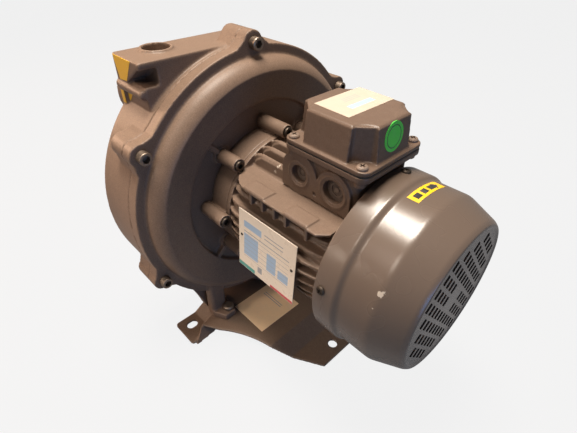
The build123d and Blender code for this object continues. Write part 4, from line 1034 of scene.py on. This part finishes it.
@dataclass
class Papers:
    """Labels, plate and card, all without words or marks."""

    film: float = 0.12
    label_at: Point = (128.4, 4.6, 125.0)
    label_skew: float = 0.026
    label_size: Pair = (54.0, 35.0)
    round_at: Point = (171.56, -1.4, 112.7)
    round_slope: float = 0.106
    round_radii: Point = (8.2, 9.0, 11.6)
    round_faces: Pair = (0.15, -0.45)
    arrow_at: Point = (202.2, 84.5, 78.05)
    arrow_size: Pair = (10.0, 40.2)
    card_at: Point = (49.6, -25.4, -160.0)
    card_size: Pair = (52.5, 62.5)
    block_film: Pair = (0.15, 0.3)
    block_patches: tuple[tuple[str, float, tuple[Pair, ...]], ...] = (
        ("block_sticker_upper", -104.0, ((-49.5, 143.8), (-18.0, 143.8), (-32.0, 125.0), (-45.0, 123.6))),
        ("block_sticker_lower", -104.0, ((-50.0, 114.0), (-44.6, 114.0), (-44.6, 101.0), (-50.0, 101.0))),
        ("block_sticker_step", -101.0, ((-43.4, 113.0), (-33.0, 113.0), (-43.4, 101.5))))

    def build(self) -> None:
        """Make every printed piece."""
        self.lid_label()
        self.round_sticker()
        self.arrow_sticker()
        self.rating_plate()
        self.card()
        self.block_stickers()

    def lid_label(self) -> None:
        """Plain white label on the lid with faint rules and one tinted band."""
        rules = [Patch(-12.0, v, 10.0 - abs(v) * 0.5, v + 0.6, Finish.INK_GREY) for v in (-9.0, -6.5, -4.0)]
        band = Patch(-15.0, 3.0, 13.0, 9.0, Finish.BLUE_INK_AND_REFLECTION)
        place = flat_frame(self.label_at, Vector((-self.label_skew, -1, 0)), Vector((1, -self.label_skew, 0)))
        Print("lid_label", self.label_size, self.film, Finish.LABEL, place, rules + [band]).build()

    def round_sticker(self) -> None:
        """Round green sticker with a darker ring on the lid's fan side."""
        out = Vector((1.0, 0.0, self.round_slope)).normalized()
        up = (Vector((0, 0, 1)) - out * out.z).normalized()
        place = flat_frame(self.round_at, up.cross(out), up)
        front, back = self.round_faces
        outline = [(front, 0.0), *((front, radius) for radius in self.round_radii), (back, self.round_radii[-1]),
                   (back, 0.0)]
        bm = turned(outline, 48, lambda height, u, v: place(u, v, height), inks=(0, 1, 0, 0, 0))
        disc = from_bmesh("round_sticker", bm, PAPER_SHADE_DEG)
        for ink in (Finish.GREEN, Finish.GREEN_DARK):
            disc.data.materials.append(ink.material())
        dress(disc, Finish.GREEN, None)

    def arrow_sticker(self) -> None:
        """Yellow strip round the cowl's drum with plain black bars."""
        bars = [(2.6, 10.0, 16.5), (2.6, 1.0, 7.5), (2.6, -9.0, -1.5), (3.8, -10.5, -9.0), (2.6, -12.0, -10.5),
                (1.5, -13.5, -12.0), (0.6, -15.0, -13.5)]
        patches = [Patch(-half, low, half, high, Finish.BLACK) for half, low, high in bars]
        place = drum_frame(*self.arrow_at)
        Print("arrow_sticker", self.arrow_size, self.film, Finish.YELLOW, place, patches, 1.5).build()

    def rating_plate(self) -> None:
        """Blank-form rating plate: rules and tinted boxes, no words; the pale blue cells in its table are a painted
        blue reflection.
        """
        # pale blue cells in the table: painted blue reflection; the blue header box at the top is print
        boxes = [Patch(-30, 16, -6, 23, Finish.BLUE_INK_AND_REFLECTION), Patch(-2, 17, 22, 18, Finish.INK_GREY),
                 Patch(-2, 21, 22, 22, Finish.INK_GREY), Patch(-30, -16, -10, 9, Finish.BLUE_INK_AND_REFLECTION),
                 Patch(2, -16, 14, 4, Finish.BLUE_INK_AND_REFLECTION), Patch(-30, 11, 30, 12, Finish.INK_GREY),
                 Patch(-37, -32.8, -14, -28.5, Finish.INK_GREEN), Patch(8, -32.8, 37.3, -30.0, Finish.INK_RED),
                 Patch(-10, -27, -4, -20, Finish.INK_GREY), Patch(17, -16, 30, -6, Finish.BLUE_INK_AND_REFLECTION)]
        boxes += [Patch(-30, v, 30, v + 0.4, Finish.INK_GREY) for v in (-18, -13, -8, -3, 2, 7)]
        Print("rating_plate", PLATE_SEAT.size, PLATE_SEAT.thickness, Finish.PLATE_WHITE, PLATE_SEAT.place(), boxes,
              slot="plate_aluminium", stands_for=["nameplate"]).build()

    def card(self) -> None:
        """Cream card lying on the base, with two faint rules."""
        place = flat_frame(self.card_at, Vector((1, 0, 0)), Vector((0, 1, 0)))
        rules = [Patch(-18, v, 14, v + 0.9, Finish.INK_GREY) for v in (10.0, 13.0)]
        Print("card", self.card_size, 0.3, Finish.CARD, place, rules).build()

    def block_stickers(self) -> None:
        """Plain yellow stickers on the port block's near side."""
        proud, sunk = self.block_film
        for name, y, corners in self.block_patches:
            bm = bmesh.new()
            add_prism(bm, *([row_point(x, side, z) for x, z in corners] for side in (y - proud, y + sunk)))
            dress(from_bmesh(name, bm, PAPER_SHADE_DEG), Finish.YELLOW, None)


# ---------------------------------------------------------------- studio
@dataclass(frozen=True)
class Lamp:
    """A lamp aimed at a point: a soft spot where it has a cone, else a square."""

    name: str
    place: Point
    target: Point
    power: float
    colour: Colour
    size: float = 0.5
    cone_deg: float = 0.0
    blend: float = 0.8
    bulb: float = 0.06

    def build(self) -> None:
        """Hang the lamp."""
        data = bpy.data.lights.new(self.name, "SPOT" if self.cone_deg else "AREA")
        if self.cone_deg:
            data.spot_size, data.spot_blend = math.radians(self.cone_deg), self.blend
            data.shadow_soft_size = self.bulb
        else:
            data.shape, data.size = "SQUARE", self.size
        data.energy, data.color = self.power, self.colour
        obj = bpy.data.objects.new(self.name, data)
        bpy.context.scene.collection.objects.link(obj)
        obj.location = self.place
        obj.rotation_mode = "QUATERNION"
        obj.rotation_quaternion = (Vector(self.target) - Vector(self.place)).to_track_quat("-Z", "Y")


LAMPS = (
    Lamp("ceiling", (-0.05, -0.05, 1.45), (0.1, 0.0, 0.15), 34.0, (1.0, 0.91, 0.80)),
    Lamp("left", (-1.1, -0.6, 0.65), (0.0, 0.0, 0.17), 9.0, (1.0, 0.64, 0.43)),
    Lamp("front", (0.10, -0.95, 1.15), (0.1, 0.0, 0.12), 3.8, (1.0, 0.86, 0.74), size=0.4),
    Lamp("cool", (1.2, -0.25, 0.10), (0.25, 0.0, 0.15), 3.6, (0.12, 0.42, 1.0), size=0.6),
    Lamp("low", (-0.22, -0.90, 0.50), (0.085, -0.07, 0.11), 16.0, (1.0, 0.84, 0.70), cone_deg=17.0),
)


@dataclass
class Studio:
    """Floor, lamps, world and camera."""

    floor_half: float = 3.0
    floor_z: float = -0.0005
    floor_colours: tuple[Colour, Colour] = ((0.16, 0.16, 0.17), (0.14, 0.14, 0.15))
    whitening: float = 0.86
    mirrored: float = 0.2
    ambient: Colour = (1.0, 0.92, 0.86)
    ambient_strength: float = 0.07
    lens: float = 25.03
    sensor: float = 36.0
    eye: Point = (0.30987, -0.24219, 0.41869)
    yaw_deg: float = 135.774
    pitch_deg: float = 37.590
    roll_deg: float = -0.6826

    def build(self) -> None:
        """Make everything round the machine."""
        self.floor()
        for lamp in LAMPS:
            lamp.build()
        self.world()
        self.camera()

    def white_share(self, graph: Graph) -> Socket:
        """How much of the white a ray sees: all for the camera and through glass, some in mirrors."""
        path = graph.add("ShaderNodeLightPath").outputs
        gloss = graph.math("MULTIPLY", path["Is Glossy Ray"], self.mirrored)
        seen = graph.math("MAXIMUM", path["Is Camera Ray"], gloss)
        return graph.math("MAXIMUM", seen, path["Is Transmission Ray"])

    def floor(self) -> None:
        """Pale floor that shows near white to the camera and keeps the shadow."""
        s = Sketch("floor")
        material = s.finish(s.mix(s.ramp(s.noise(6.0), 0.3, 0.7, 0.0, 0.3), *self.floor_colours), 0.8)
        surface = next(node for node in s.tree.nodes if node.type == "OUTPUT_MATERIAL").inputs["Surface"]
        glow = s.add("ShaderNodeEmission", {"Color": (1.0, 1.0, 1.0)})
        share = s.math("MULTIPLY", self.white_share(s), self.whitening)
        blend = s.add("ShaderNodeMixShader", {0: share, 1: surface.links[0].from_socket,
                                              2: glow.outputs["Emission"]})
        s.feed(surface, blend.outputs["Shader"])
        bm = bmesh.new()
        h = self.floor_half
        bm.faces.new([bm.verts.new(corner) for corner in ((-h, -h, 0), (h, -h, 0), (h, h, 0), (-h, h, 0))])
        floor = from_bmesh("floor", bm, None)
        floor.data.materials.append(material)
        floor.location.z = self.floor_z

    def world(self) -> None:
        """Even ambient light; camera rays see plain white."""
        world = bpy.data.worlds.new("studio")
        bpy.context.scene.world = world
        world.use_nodes = True
        graph = Graph(world.node_tree)
        graph.tree.nodes.clear()
        ambient = graph.add("ShaderNodeBackground", {"Color": self.ambient, "Strength": self.ambient_strength})
        white = graph.add("ShaderNodeBackground", {"Color": (1.0, 1.0, 1.0), "Strength": 1.0})
        blend = graph.add("ShaderNodeMixShader", {0: self.white_share(graph), 1: ambient.outputs[0],
                                                  2: white.outputs[0]})
        graph.add("ShaderNodeOutputWorld", {"Surface": blend.outputs[0]})

    def camera(self) -> None:
        """Camera at the fitted viewpoint."""
        yaw, pitch, roll = (math.radians(a) for a in (self.yaw_deg, self.pitch_deg, self.roll_deg))
        ahead = Vector((math.cos(pitch) * math.cos(yaw), math.cos(pitch) * math.sin(yaw), -math.sin(pitch)))
        level = Vector((math.sin(yaw), -math.cos(yaw), 0.0))
        down = ahead.cross(level)
        right = level * math.cos(roll) + down * math.sin(roll)
        below = down * math.cos(roll) - level * math.sin(roll)
        data = bpy.data.cameras.new("camera")
        data.sensor_fit, data.sensor_width, data.lens = "HORIZONTAL", self.sensor, self.lens
        data.clip_start, data.clip_end = 0.01, 20.0
        camera = bpy.data.objects.new("camera", data)
        bpy.context.scene.collection.objects.link(camera)
        turn = Matrix((right, -below, -ahead)).transposed()
        camera.matrix_world = Matrix.Translation(self.eye) @ turn.to_4x4()
        bpy.context.scene.camera = camera


# ---------------------------------------------------------------- whole machine
def dress_frame() -> None:
    """Give every CAD node its procedural finish."""
    slots = {part["node"]: part["material_slot"] for part in frame["record"]["subparts"]}
    for name, obj in frame["nodes"].items():
        obj.data.materials.clear()
        obj.data.materials.append(SLOT_FINISH[slots[name]].material())


def main() -> None:
    """Build the machine and its studio."""
    logging.basicConfig(level=logging.INFO, format="%(name)s %(message)s")
    bpy.context.scene.view_settings.view_transform = "Standard"
    dress_frame()
    for casting in CASTINGS:
        casting.build()
    Cowl().build()
    Fasteners().build()
    Papers().build()
    Studio().build()


if __name__ == "__main__":
    main()
